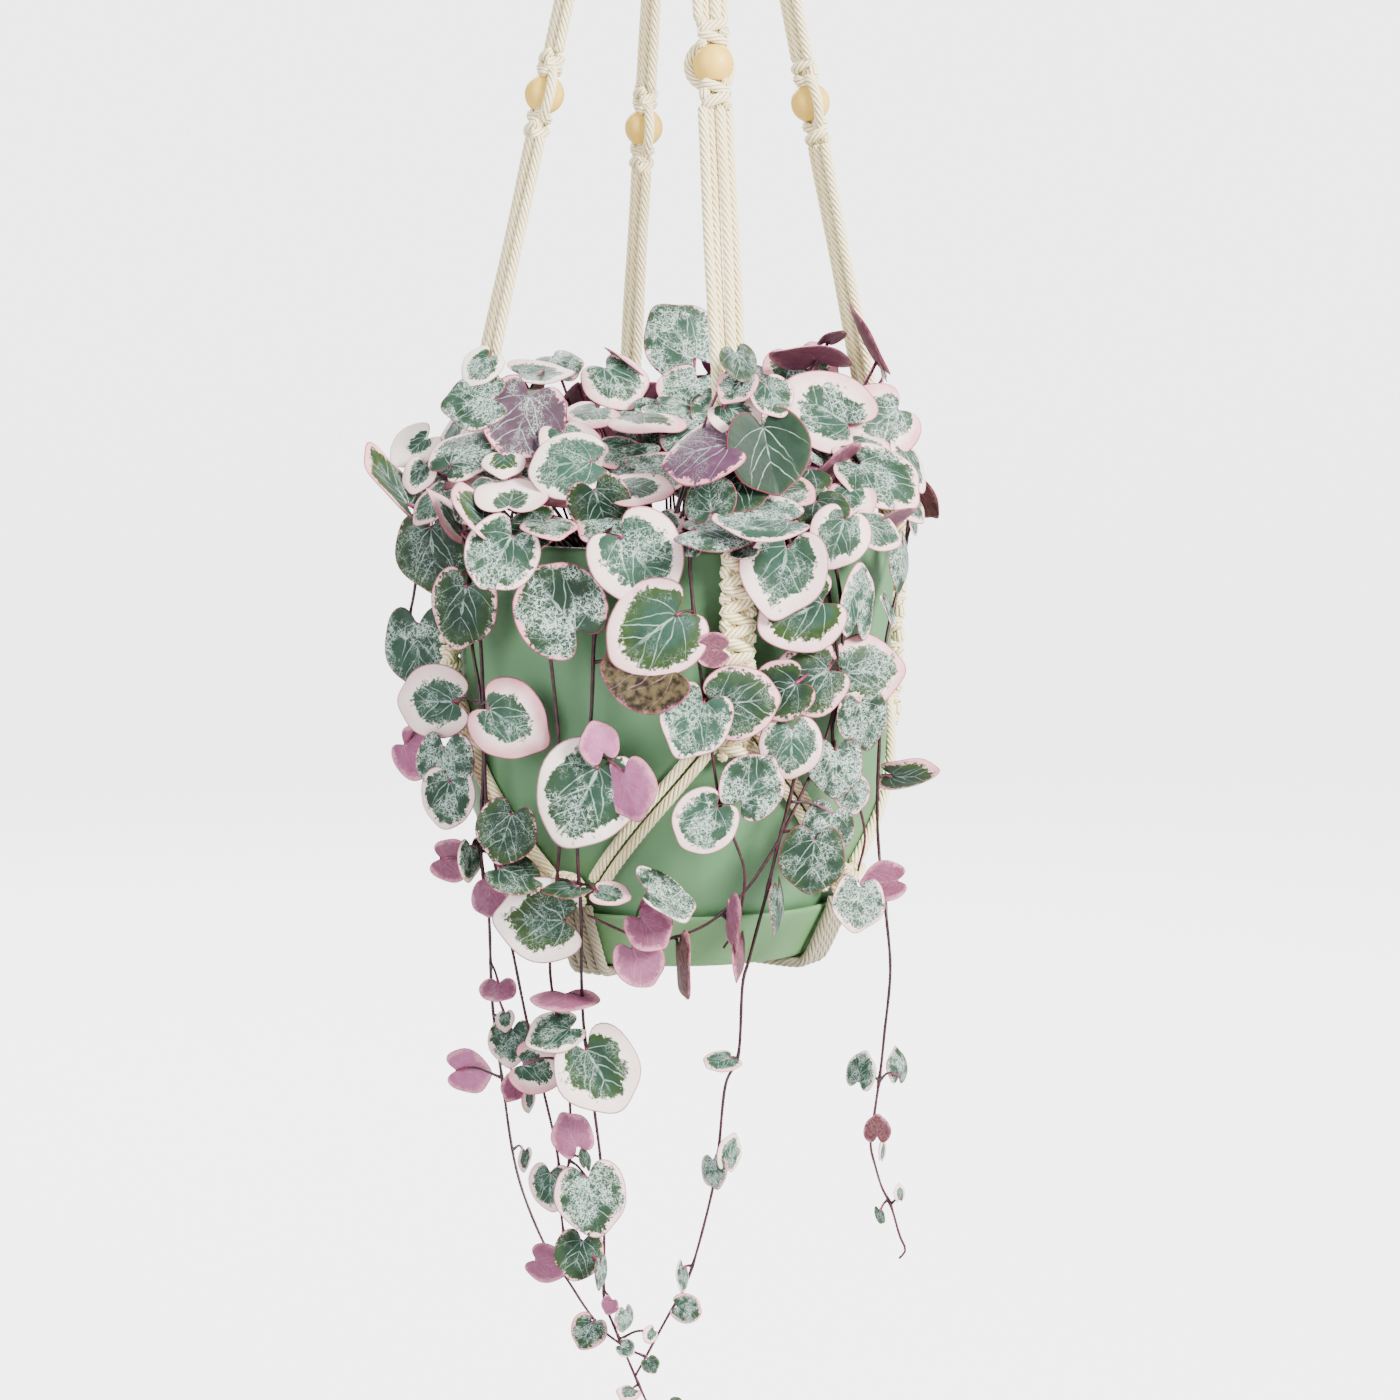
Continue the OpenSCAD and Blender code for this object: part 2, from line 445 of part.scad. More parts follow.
color("seagreen") front_vine(  // vine_i
    [[66, 31], [70, 22], [74, 12], [73, 0], [70, -14], [66, -31], [65, -47], [64, -79], [65, -98],
     [67, -117], [69, -136], [68, -158], [67, -170], [65, -185], [64, -194], [66, -203], [69, -214],
     [72, -220], [75, -230], [77, -235], [75, -238]],
    [[71, -5, 19, 70, 0, 5], [66, -19, 11, 75, 20, 10], [73, -73, 19, 10, -50, 90],
     [66, -103, 14, 170, -35, 80], [57, -108, 17, 15, 10, -10], [60, -167, 12, -40, 10, 170],
     [74, -173, 12, 55, 10, 170], [66, -189, 9, 180, 0, 180], [68, -197, 8, 70, 0, 160],
     [75, -216, 6, 50, 10, 170], [68, -221, 6, 60, 30, -40], [75, 5, 6, 60, 10, 20]]);
color("seagreen") front_vine(  // vine_j
    [[42, 4], [45, -5], [49, -22], [51, -43], [49, -57], [52, -67], [56, -75], [60, -90], [58, -102]],
    [[33, -5, 27, 0, 5, -10], [39, -18, 26, 5, 5, -65], [33, -42, 19, -10, 0, -60],
     [42, -39, 23, 5, 5, -60], [59, -38, 23, 15, 5, 90], [56, -17, 23, 60, 0, 170],
     [58, -52, 18, 25, 0, 10], [50, -66, 18, 10, 5, 0], [55, -75, 12, 10, 10, 10]]);
color("seagreen") far_vine(48, -118, 1);  // vine_k
color("seagreen") far_vine(66, -140, 2);  // vine_l
color("seagreen") far_vine(84, -105, 3);  // vine_m
color("seagreen") far_vine(102, -146, 4);  // vine_n
color("seagreen") far_vine(120, -128, 5);  // vine_o
color("seagreen") far_vine(136, -100, 6);  // vine_p
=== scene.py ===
"""Looks of a string of hearts in a small sage-green pot, carried by a four-legged knotted cord hanger.

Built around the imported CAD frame: metres, +Z up, the origin at the hook's seat in the ring.
The legs, cords and knots follow the same construction as the CAD part; the leaves, stalks and
stems are read back from the CAD solids and given their full shape.
"""

import heapq
import math

import bmesh
import bpy
import numpy as np
from mathutils import Matrix, Vector


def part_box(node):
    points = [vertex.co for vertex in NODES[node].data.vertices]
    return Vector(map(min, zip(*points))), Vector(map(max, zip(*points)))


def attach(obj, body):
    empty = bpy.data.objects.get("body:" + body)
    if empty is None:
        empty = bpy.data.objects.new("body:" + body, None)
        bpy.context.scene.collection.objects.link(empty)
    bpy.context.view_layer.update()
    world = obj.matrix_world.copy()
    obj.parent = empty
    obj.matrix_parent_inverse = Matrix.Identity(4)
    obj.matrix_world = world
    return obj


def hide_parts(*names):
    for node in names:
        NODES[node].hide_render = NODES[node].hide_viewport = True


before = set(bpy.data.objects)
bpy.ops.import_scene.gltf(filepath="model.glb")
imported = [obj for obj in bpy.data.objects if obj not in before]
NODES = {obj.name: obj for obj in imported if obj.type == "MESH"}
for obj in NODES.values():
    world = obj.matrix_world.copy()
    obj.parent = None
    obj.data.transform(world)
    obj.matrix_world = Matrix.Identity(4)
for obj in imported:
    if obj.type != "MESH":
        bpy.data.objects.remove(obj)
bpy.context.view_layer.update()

# ---------------------------------------------------------------- sizes
MM = 0.001
RIM_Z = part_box("pot")[1].z                   # the pot's rim
RIM = Vector((0, 0, RIM_Z))
POT_R = (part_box("pot")[1].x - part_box("pot")[0].x) / 2
POT_H = RIM_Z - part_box("pot")[0].z
POT_TAPER = 0.032                            # how much the wall leans, per length
WALL = 3 * MM
SAUCER_R = (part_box("saucer")[1].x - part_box("saucer")[0].x) / 2
CORD_D = 3.2 * MM
KNOT_CORD_D = 3.5 * MM                       # a cord that is tied swells a little
CORE_GAP = 2.8 * MM                          # between the two straight cords of a band
BEAD_D = 12.5 * MM
BORE_D = 5 * MM
RING_ROD = 7 * MM
RING_MID = (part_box("hanging_ring")[1].x - RING_ROD / 2)
WRAP_TOP, WRAP_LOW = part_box("top_wrap")[1].z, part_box("top_wrap")[0].z
SOIL_EDGE = -8 * MM
# the legs, as in the CAD part: bearing, bead height over the rim, turn of the row of cords
LEGS = [(195, 139, 0), (105, 131, 90), (285, 147, 0), (15, 138, 0)]
ROW = [((0.26, -0.26)[k % 2] * CORD_D, 0.88 * (k - 1.5) * CORD_D) for k in range(4)]
LEG_IN, LEG_OUT = 8 * MM, POT_R + 2 * MM
LEG_LOW = RIM_Z + 3 * MM
TILT = math.atan((LEG_OUT - LEG_IN) / (WRAP_LOW - LEG_LOW))
KNOT_H = 7.5 * MM
KNOT_OFF = math.sqrt(BEAD_D ** 2 - BORE_D ** 2) / 2 + 0.1 * MM + KNOT_H / 2
KNOT_END = KNOT_OFF + KNOT_H / 2 + 0.1 * MM   # from the bead's middle to past its knot
BAND_LENGTH, BAND_HALF_KNOTS = 65 * MM, 16
BRANCH_TOP, BRANCH_LOW = -60, -107           # in mm over the rim
QUARTER_TURN = Matrix.Rotation(math.radians(90), 4, "Z")
CRADLE_Z = -107 * MM
CRADLES = [150, 60, 240, 330]
# a base cord's way over the saucer: distance from the axis and height over the rim, in mm
BASE_ROUTE = [(61.5, -112.6), (60.8, -116.5), (57.6, -123.5), (54.2, -130.5), (52, -134),
              (48, -135.4), (32, -135.4), (15.4, -135.4)]
# the CAD's solids are told apart by their points
LEAF_POINTS, STALK_POINTS, STEM_SIDES = 14, 6, 5
HUB_EDGES = 12                               # edges that meet at the middle of a leaf's faces


def pot_at(z):
    """Outer radius of the pot at a height z over its rim; z is negative."""
    belly, turn = 20.3 * MM, -70 * MM
    if z > turn:
        return POT_R + POT_TAPER * z
    return POT_R + POT_TAPER * turn - belly * ((turn - z) / (POT_H + turn)) ** 1.6


# ---------------------------------------------------------------- camera
cam = bpy.data.objects.new("camera", bpy.data.cameras.new("camera"))
bpy.context.scene.collection.objects.link(cam)
cam.data.lens, cam.data.sensor_width = 89.2, 36
cam.data.clip_start, cam.data.clip_end = 0.05, 30
cam.location = RIM + Vector((0.0082, -1.120, 0.085))
cam.rotation_euler = (Matrix.Rotation(math.radians(90 - 7.1), 3, "X")
                      @ Matrix.Rotation(math.radians(0.4), 3, "Z")).to_euler()
bpy.context.scene.camera = cam


# ---------------------------------------------------------------- small helpers
def value_of(i, s):
    """A repeatable number from 0 to 1 for a pair of numbers."""
    v = math.sin(i * 12.9898 + s * 78.233) * 43758.5453
    return v - math.floor(v)


def smooth(a, b, x):
    """0 below a, 1 above b, and a smooth rise between."""
    t = np.clip((x - a) / (b - a), 0, 1)
    return t * t * (3 - 2 * t)


def place(obj, slot, *nodes):
    """The piece rides on the part and stands for its CAD nodes, which it hides; slot is not used."""
    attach(obj, "root")
    if nodes:
        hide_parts(*nodes)
    return obj


def new_mesh(name, verts, faces, material, attributes=()):
    """A smooth-shaded mesh object; attributes hold (name, kind, one value per vertex)."""
    mesh = bpy.data.meshes.new(name)
    mesh.from_pydata([tuple(map(float, v)) for v in verts], [], [tuple(map(int, f)) for f in faces])
    for key, kind, values in attributes:
        a = mesh.attributes.new(key, kind, "POINT")
        field = "vector" if kind == "FLOAT_VECTOR" else "value"
        a.data.foreach_set(field, np.asarray(values, np.float32).ravel())
    mesh.materials.append(material)
    mesh.polygons.foreach_set("use_smooth", [True] * len(mesh.polygons))
    mesh.update()
    obj = bpy.data.objects.new(name, mesh)
    bpy.context.scene.collection.objects.link(obj)
    return obj


def lathe(name, profile, material, turns=128):
    """A solid of revolution about Z from a profile of (radius, z), which is either closed or starts
    and ends on the axis."""
    verts, faces, n = [], [], len(profile)
    for k in range(turns):
        a = 2 * math.pi * k / turns
        verts += [(r * math.cos(a), r * math.sin(a), z) for r, z in profile]
    for k in range(turns):
        m = (k + 1) % turns
        for i in range(n - 1):
            faces.append((k * n + i, m * n + i, m * n + i + 1, k * n + i + 1))
    return weld(new_mesh(name, verts, faces, material))


def weld(obj, gap=1e-6):
    """Joins vertices closer than the gap, and turns every face outwards."""
    bm = bmesh.new()
    bm.from_mesh(obj.data)
    bmesh.ops.remove_doubles(bm, verts=bm.verts, dist=gap)
    bmesh.ops.dissolve_degenerate(bm, edges=bm.edges, dist=gap)
    bmesh.ops.recalc_face_normals(bm, faces=bm.faces)
    bm.to_mesh(obj.data)
    bm.free()
    return obj


def arc(cx, cz, r, a0, a1, n):
    """Points of an arc in a profile, angles in degrees."""
    return [(cx + r * math.cos(math.radians(a0 + (a1 - a0) * k / n)),
             cz + r * math.sin(math.radians(a0 + (a1 - a0) * k / n))) for k in range(n + 1)]


def run_along(p):
    """The distance of each point of a line from its start."""
    return np.concatenate([[0], np.cumsum(np.linalg.norm(np.diff(p, axis=0), axis=1))])


def even(points, step):
    """A smooth line through the points, with samples a step apart."""
    p = np.array(points, float)
    if len(p) > 2:
        q = np.vstack([2 * p[0] - p[1], p, 2 * p[-1] - p[-2]])
        fine = []
        for i in range(1, len(q) - 2):
            for t in np.linspace(0, 1, 24, endpoint=False):
                fine.append(0.5 * (2 * q[i] + (q[i + 1] - q[i - 1]) * t
                                   + (2 * q[i - 1] - 5 * q[i] + 4 * q[i + 1] - q[i + 2]) * t * t
                                   + (3 * q[i] - q[i - 1] - 3 * q[i + 1] + q[i + 2]) * t ** 3))
        p = np.vstack([fine, p[-1]])
    s = run_along(p)
    u = np.linspace(0, s[-1], max(3, int(round(s[-1] / step)) + 1))
    return np.stack([np.interp(u, s, p[:, k]) for k in range(3)], axis=1)


def frames_along(p):
    """Tangent and two steady cross directions at each point of a line."""
    t = np.gradient(p, axis=0)
    t /= np.linalg.norm(t, axis=1)[:, None]
    u = np.zeros_like(p)
    start = np.array([0.31, 0.83, 0.46])     # a direction that no cord follows
    for i in range(len(p)):
        start = start - t[i] * (start @ t[i])
        start /= np.linalg.norm(start)
        u[i] = start
    return t, u, np.cross(t, u)


class Soup:
    """Collects the shells of one piece."""

    def __init__(self, *keys):
        self.verts, self.faces, self.count = [], [], 0
        self.values = {k: [] for k in keys}

    def add(self, verts, faces, **values):
        self.faces += [tuple(i + self.count for i in f) for f in faces]
        self.verts.append(np.asarray(verts, float))
        for k in self.values:
            self.values[k].append(np.asarray(values[k], np.float32))
        self.count += len(verts)

    def build(self, name, material):
        kinds = {k: "FLOAT_VECTOR" if v[0].ndim == 2 else "FLOAT" for k, v in self.values.items()}
        return new_mesh(name, np.vstack(self.verts), self.faces, material,
                        [(k, kinds[k], np.concatenate(v)) for k, v in self.values.items()])


def tube_shell(p, radii, sides, turn=0.0):
    """Vertices and faces of a tube round a line, closed at both ends. radii is one number, one per
    ring, or an array of ring by side; turn is the angle of each ring's first side."""
    t, u, v = frames_along(p)
    m = len(p)
    a = 2 * np.pi * np.arange(sides)[None, :] / sides + np.reshape(turn, (-1, 1)) + np.zeros((m, 1))
    r = np.broadcast_to(np.asarray(radii, float).reshape((-1, 1)) if np.ndim(radii) == 1
                        else radii, (m, sides))
    ring = u[:, None] * np.cos(a)[:, :, None] + v[:, None] * np.sin(a)[:, :, None]
    verts = (p[:, None] + ring * r[:, :, None]).reshape(-1, 3)
    verts = np.vstack([verts, p[0], p[-1]])
    faces = []
    for i in range(m - 1):
        for k in range(sides):
            b = (k + 1) % sides
            faces.append((i * sides + k, i * sides + b, (i + 1) * sides + b, (i + 1) * sides + k))
    for k in range(sides):
        b = (k + 1) % sides
        faces.append((m * sides, b, k))
        faces.append((m * sides + 1, (m - 1) * sides + k, (m - 1) * sides + b))
    return verts, faces


# ---------------------------------------------------------------- materials
class Shader:
    """A material with short forms for its nodes."""

    def __init__(self, name, roughness=0.5, specular=0.5):
        self.mat = bpy.data.materials.new(name)
        self.mat.use_nodes = True
        self.nodes, self.links = self.mat.node_tree.nodes, self.mat.node_tree.links
        self.bsdf = self.nodes["Principled BSDF"]
        self.bsdf.inputs["Roughness"].default_value = roughness
        self.bsdf.inputs["Specular IOR Level"].default_value = specular

    def put(self, socket, value):
        if hasattr(value, "is_output"):
            self.links.new(value, socket)
        elif value is not None:
            socket.default_value = value

    def math(self, op, a, b=None, c=None, clamp=False):
        n = self.nodes.new("ShaderNodeMath")
        n.operation, n.use_clamp = op, clamp
        for s, v in zip(n.inputs, (a, b, c)):
            self.put(s, v)
        return n.outputs[0]

    def ramp(self, x, low, high, out_low=0.0, out_high=1.0):
        n = self.nodes.new("ShaderNodeMapRange")
        n.interpolation_type = "SMOOTHSTEP"
        for s, v in zip(n.inputs[:5], (x, low, high, out_low, out_high)):
            self.put(s, v)
        return n.outputs[0]

    def mix(self, share, a, b):
        n = self.nodes.new("ShaderNodeMix")
        n.data_type = "RGBA"
        self.put(n.inputs[0], share)
        for s, v in zip(n.inputs[6:8], (a, b)):
            self.put(s, (*v, 1) if isinstance(v, tuple) and len(v) == 3 else v)
        return n.outputs[2]

    def attribute(self, name, out="Fac"):
        n = self.nodes.new("ShaderNodeAttribute")
        n.attribute_name = name
        return n.outputs[out]

    def object_place(self):
        return self.nodes.new("ShaderNodeTexCoord").outputs["Object"]

    def noise(self, at, scale, detail=2.0, rough=0.5):
        n = self.nodes.new("ShaderNodeTexNoise")
        self.put(n.inputs["Vector"], at)
        n.inputs["Scale"].default_value = scale
        n.inputs["Detail"].default_value = detail
        n.inputs["Roughness"].default_value = rough
        return n.outputs["Fac"]

    def cells(self, at, scale, feature="DISTANCE_TO_EDGE"):
        n = self.nodes.new("ShaderNodeTexVoronoi")
        n.feature = feature
        self.put(n.inputs["Vector"], at)
        n.inputs["Scale"].default_value = scale
        return n.outputs["Distance"]

    def split(self, vector):
        n = self.nodes.new("ShaderNodeSeparateXYZ")
        self.put(n.inputs[0], vector)
        return n.outputs

    def bump(self, height, strength, distance):
        n = self.nodes.new("ShaderNodeBump")
        n.inputs["Strength"].default_value = strength
        n.inputs["Distance"].default_value = distance
        self.put(n.inputs["Height"], height)
        self.links.new(n.outputs[0], self.bsdf.inputs["Normal"])

    def colour(self, value):
        self.put(self.bsdf.inputs["Base Color"], (*value, 1) if isinstance(value, tuple) else value)
        return self.mat


def cord_material(name="cotton_cord", painted_shade=0.0):
    """Off-white cotton, with painted shade in the grooves between its yarns, and for cords that hang in
    shade, painted shade over the whole cord.
    """
    s = Shader(name, 0.9, 0.2)
    s.bsdf.inputs["Sheen Weight"].default_value = 0.5
    s.bsdf.inputs["Sheen Roughness"].default_value = 0.5
    at = s.object_place()
    groove = s.attribute("groove")
    fibre = s.noise(at, 900, 3, 0.6)
    light = s.mix(s.ramp(s.noise(at, 45, 2), 0.3, 0.7), (0.95, 0.78, 0.42), (0.97, 0.85, 0.51))
    worn = s.mix(s.ramp(fibre, 0.35, 0.7), light, (0.98, 0.92, 0.62))
    s.bump(s.math("ADD", s.math("MULTIPLY", fibre, 0.5), s.noise(at, 2600, 2)), 0.35, 0.0004)
    # painted shade: the grooves between the yarns take a dark brown
    body = s.mix(s.ramp(groove, 0.25, 0.95), (0.44, 0.29, 0.12), worn)
    # painted shade: the second argument mixes the whole cord towards a dark grey-brown, for cords that hang
    # in shade under the saucer
    return s.colour(s.mix(painted_shade, body, (0.16, 0.14, 0.11)))


def wood_material(name, light, dark):
    s = Shader(name, 0.42, 0.4)
    at = s.object_place()
    n = s.nodes.new("ShaderNodeMapping")
    n.inputs["Scale"].default_value = (1, 1, 0.12)
    s.put(n.inputs["Vector"], at)
    grain = s.noise(n.outputs[0], 420, 4, 0.6)
    s.bump(grain, 0.08, 0.0003)
    return s.colour(s.mix(s.ramp(grain, 0.35, 0.72), light, dark))


def plastic_material(name, colour, deep):
    s = Shader(name, 0.45, 0.30)
    at = s.object_place()
    s.bump(s.noise(at, 260, 3, 0.6), 0.05, 0.0004)
    return s.colour(s.mix(s.noise(at, 9, 2), colour, deep))


def soil_material():
    s = Shader("soil", 0.95, 0.2)
    at = s.object_place()
    grit = s.noise(at, 500, 5, 0.7)
    s.bump(grit, 0.7, 0.002)
    return s.colour(s.mix(s.ramp(grit, 0.4, 0.65), (0.012, 0.007, 0.005), (0.075, 0.043, 0.028)))


def stem_material():
    """Dark maroon stems, redder and paler on thin stalks (tint 1)."""
    s = Shader("stem", 0.45, 0.45)
    tint = s.attribute("tint")
    spots = s.noise(s.object_place(), 700, 3)
    dark = s.mix(s.ramp(spots, 0.3, 0.7), (0.008, 0.0015, 0.0025), (0.040, 0.006, 0.011))
    pink = s.mix(s.ramp(spots, 0.3, 0.7), (0.10, 0.010, 0.035), (0.24, 0.035, 0.095))
    return s.colour(s.mix(tint, dark, pink))


def leaf_material():
    """Upper side: dark and pale green mottled with silver, pale veins, a ragged border to a cream or
    pink margin, and a thin red rim. Under side: pink, magenta or olive. at = place on the leaf in
    leaf widths, edge = 1 at the outline, look and tone hold one value per leaf."""
    s = Shader("leaf", 0.48, 0.14)
    at, under, edge = s.attribute("at", "Vector"), s.attribute("under"), s.attribute("edge")
    green, pink, olive = s.split(s.attribute("look", "Vector"))
    silver, dark, mauve = s.split(s.attribute("tone", "Vector"))
    u, v, _ = s.split(at)
    # veins: a midrib and side veins that bend from the notch towards the tip
    warp = s.math("MULTIPLY", s.math("SUBTRACT", s.noise(at, 5.5, 2), 0.5), 0.09)
    du = s.math("ADD", u, 0.26)
    av = s.math("ABSOLUTE", v)
    dv = s.math("ADD", av, warp)
    far = s.math("SQRT", s.math("ADD", s.math("MULTIPLY", du, du), s.math("MULTIPLY", v, v)))
    veins = None
    for start, angle, width, bend in ((0, 0, 0.010, 0), (0, 42, 0.006, 0.5), (0, 84, 0.004, 0.9),
                                      (0.20, 46, 0.006, 0.4), (0.40, 44, 0.005, 0.3)):
        c, n = math.cos(math.radians(angle)), math.sin(math.radians(angle))
        past = s.math("SUBTRACT", du, start)
        along = s.math("ADD", s.math("MULTIPLY", past, c), s.math("MULTIPLY", dv, n))
        across = s.math("SUBTRACT", s.math("MULTIPLY", dv, c), s.math("MULTIPLY", past, n))
        curve = s.math("MULTIPLY", s.math("MULTIPLY", along, along), bend)
        across = s.math("ABSOLUTE", s.math("ADD", across, curve))
        line = s.math("MULTIPLY", s.ramp(across, 0.3 * width, 1.6 * width, 1, 0), s.ramp(along, 0.0, 0.03))
        line = s.math("MULTIPLY", line, s.ramp(along, 0.26, 0.60, 1, 0.1))
        veins = line if veins is None else s.math("MAXIMUM", veins, line)
    veins = s.math("MULTIPLY", veins, s.ramp(s.noise(at, 7, 2), 0.35, 0.58, 0.35, 1))
    # silver network round dark islands, finer or coarser in patches
    jog = s.nodes.new("ShaderNodeVectorMath")
    jog.operation = "MULTIPLY_ADD"
    rough = s.nodes.new("ShaderNodeTexNoise")
    rough.inputs["Scale"].default_value = 19
    s.put(rough.inputs["Vector"], at)
    s.put(jog.inputs[0], rough.outputs["Color"])
    jog.inputs[1].default_value = (0.13, 0.13, 0.13)
    s.put(jog.inputs[2], at)
    patch = s.ramp(s.noise(at, 3.6, 3), 0.34, 0.62)
    amount = s.math("MULTIPLY", silver, s.math("MULTIPLY_ADD", patch, 0.85, 0.15))
    wide = s.math("MULTIPLY_ADD", amount, 0.105, 0.012)
    net = s.ramp(s.cells(jog.outputs[0], 15), s.math("MULTIPLY", wide, 0.45), wide, 1, 0)
    fine = s.ramp(s.cells(jog.outputs[0], 34), 0.01, s.math("MULTIPLY_ADD", amount, 0.09, 0.02), 0.4, 0)
    mottle = s.math("MULTIPLY", s.math("MAXIMUM", net, fine), s.ramp(amount, 0.10, 0.75))
    # the ragged border of the green
    ragged = s.math("ADD", s.math("MULTIPLY", s.math("SUBTRACT", s.noise(at, 2.7, 2, 0.5), 0.5), 0.50),
                    s.math("MULTIPLY", s.math("SUBTRACT", s.cells(jog.outputs[0], 9, "F1"), 0.4), 0.16))
    ragged = s.math("ADD", ragged, s.math("MULTIPLY", s.math("SUBTRACT", s.noise(at, 26, 2), 0.5), 0.34))
    reach = s.math("SUBTRACT", s.math("ADD", edge, ragged), s.ramp(far, 0.34, 0.04, 0, 0.42))
    past = s.math("SUBTRACT", reach, green)
    border = s.ramp(past, -0.035, 0.045)
    # colours of the upper side
    deep = s.mix(s.noise(at, 6, 3), (0.005, 0.014, 0.008), (0.019, 0.044, 0.026))
    pale = s.mix(s.noise(at, 6, 3), (0.016, 0.043, 0.028), (0.042, 0.100, 0.070))
    moss = s.mix(s.noise(at, 8, 3), (0.010, 0.021, 0.005), (0.042, 0.080, 0.018))
    cloud = s.math("MULTIPLY", s.math("SUBTRACT", s.noise(at, 3.1, 2), 0.5), 1.6)
    body = s.mix(s.math("ADD", dark, cloud, clamp=True), pale, deep)
    body = s.mix(s.math("MULTIPLY", olive, s.ramp(past, -0.50, -0.10), clamp=True), body, moss)
    body = s.mix(mauve, body, s.mix(s.noise(at, 5, 3), (0.045, 0.018, 0.036), (0.150, 0.055, 0.115)))
    silvery = s.mix(s.noise(at, 9, 2), (0.20, 0.32, 0.27), (0.72, 0.83, 0.77))
    body = s.mix(s.math("MULTIPLY", mottle, 0.85), body, silvery)
    body = s.mix(s.math("MULTIPLY", veins, 0.52), body, (0.46, 0.62, 0.57))
    cream = s.mix(s.noise(at, 4, 2), (0.90, 0.83, 0.70), (0.93, 0.86, 0.83))
    rose = s.mix(s.noise(at, 5, 3), (0.66, 0.20, 0.29), (0.85, 0.50, 0.50))
    outwards = s.ramp(edge, 0.5, 1.0, -0.20, 0.70)
    blush = s.math("MULTIPLY", pink, s.math("MULTIPLY_ADD", s.noise(at, 3.3, 2), 0.9, outwards), clamp=True)
    margin = s.mix(blush, cream, rose)
    margin = s.mix(s.math("MULTIPLY", veins, 0.12), margin, (0.75, 0.62, 0.55))
    top = s.mix(border, body, margin)
    # the under side
    plum = s.mix(s.noise(at, 5, 3), (0.27, 0.060, 0.160), (0.46, 0.17, 0.31))
    wine = s.mix(s.noise(at, 5, 3), (0.085, 0.016, 0.036), (0.20, 0.050, 0.095))
    brown = s.mix(s.ramp(s.noise(at, 11, 3), 0.35, 0.65), (0.012, 0.009, 0.005), (0.085, 0.062, 0.030))
    below = s.mix(olive, s.mix(dark, plum, wine), brown)
    near_edge = s.ramp(s.math("MULTIPLY_ADD", olive, -0.22, reach), 0.70, 1.0)
    below = s.mix(near_edge, below, s.mix(0.5, rose, plum))
    below = s.mix(s.math("MULTIPLY", veins, 0.25), below, (0.60, 0.30, 0.42))
    face = s.mix(under, top, below)
    rim = s.ramp(edge, 0.955, 0.985)
    face = s.mix(s.math("MULTIPLY", rim, 0.75), face, (0.27, 0.038, 0.080))
    grooves, grain = s.math("MULTIPLY", veins, -0.8), s.math("MULTIPLY", s.noise(at, 22, 3), 0.5)
    s.bump(s.math("ADD", grooves, grain), 0.25, 0.0006)
    return s.colour(face)


CORD = cord_material()
# cord material with painted shade, for the base cords and coil that hang in shade under the saucer
SHADED_CORD = cord_material("cotton_cord_painted_shade", 0.75)
BEAD_WOOD = wood_material("bead_wood", (0.82, 0.53, 0.095), (0.75, 0.47, 0.08))
RING_WOOD = wood_material("ring_wood", (0.66, 0.46, 0.25), (0.48, 0.30, 0.15))
POT_GREEN = plastic_material("pot_plastic", (0.092, 0.206, 0.096), (0.087, 0.196, 0.091))
SAUCER_GREEN = plastic_material("saucer_plastic", (0.140, 0.285, 0.122), (0.134, 0.274, 0.117))
SOIL = soil_material()
STEM = stem_material()
LEAF = leaf_material()


# ---------------------------------------------------------------- cords
YARNS, ROPE_SIDES = 6, 36
TWIST = 14 * MM                              # the length of one turn of the yarns
ROPE_STEP = 1.1 * MM


def rope_shell(soup, points, d=CORD_D, phase=0.0):
    """A twisted cord: six yarns that turn as they run."""
    p = even(points, ROPE_STEP)
    off_crest = np.abs(2 * ((np.arange(ROPE_SIDES) * YARNS / ROPE_SIDES) % 1) - 1)
    lobe = np.tile(np.sqrt(1 - (0.98 * off_crest) ** 2), (len(p), 1))
    r = d / 2 * (0.66 + 0.37 * lobe)
    for end in (0, -1):
        r[end] *= 0.8
    verts, faces = tube_shell(p, r, ROPE_SIDES, phase - 2 * np.pi * run_along(p) / TWIST)
    soup.add(verts, faces, groove=np.concatenate([lobe.ravel(), [0.5, 0.5]]))


def leg_frame(leg, z):
    """The frame on a leg's line at a height z over the rim: Z up the cords, Y along the row."""
    bearing, _, turn = LEGS[leg]
    out = LEG_IN + (WRAP_LOW - RIM_Z - z) * math.tan(TILT)
    return (Matrix.Rotation(math.radians(bearing), 4, "Z") @ Matrix.Translation((out, 0, RIM_Z + z))
            @ Matrix.Rotation(-TILT, 4, "Y") @ Matrix.Rotation(math.radians(turn), 4, "Z"))


def straight_cords(name, node, leg, z, length):
    """Four taut cords in a row, each of the given length."""
    m = leg_frame(leg, z)
    for k, (x, y) in enumerate(ROW):
        top = m @ Vector((x, y, 0))
        low = m @ Vector((x, y, -length))
        line = np.array([top.lerp(low, t) for t in np.linspace(0, 1, 12)])
        wander = np.array([0.25 * MM * math.sin(math.pi * t) * math.sin(9 * t + 5 * k + leg)
                           for t in np.linspace(0, 1, 12)])
        line[:, 0] += wander
        soup = Soup("groove")
        rope_shell(soup, line, phase=2.1 * k + leg)
        nodes = [node] if k == 0 else []
        obj = place(soup.build(f"{name}_{leg + 1}_{k + 1}", CORD), "cotton_cord", *nodes)


def knot_lines(half_knots, pitch, wide, deep, first=0, n=12):
    """The paths of two cords knotted round straight ones; t counts half knots, the front is -Y."""
    t = np.linspace(0, half_knots, half_knots * n + 1)
    s = np.abs(np.sin(np.pi * t))
    c = np.cos(np.pi * (t + first))
    front = np.stack([wide * c, -deep * (0.35 + 0.65 * s), -pitch * t], axis=1)
    back = np.stack([-wide * c, deep * (2 * s - 1), -pitch * t], axis=1)
    return front, back


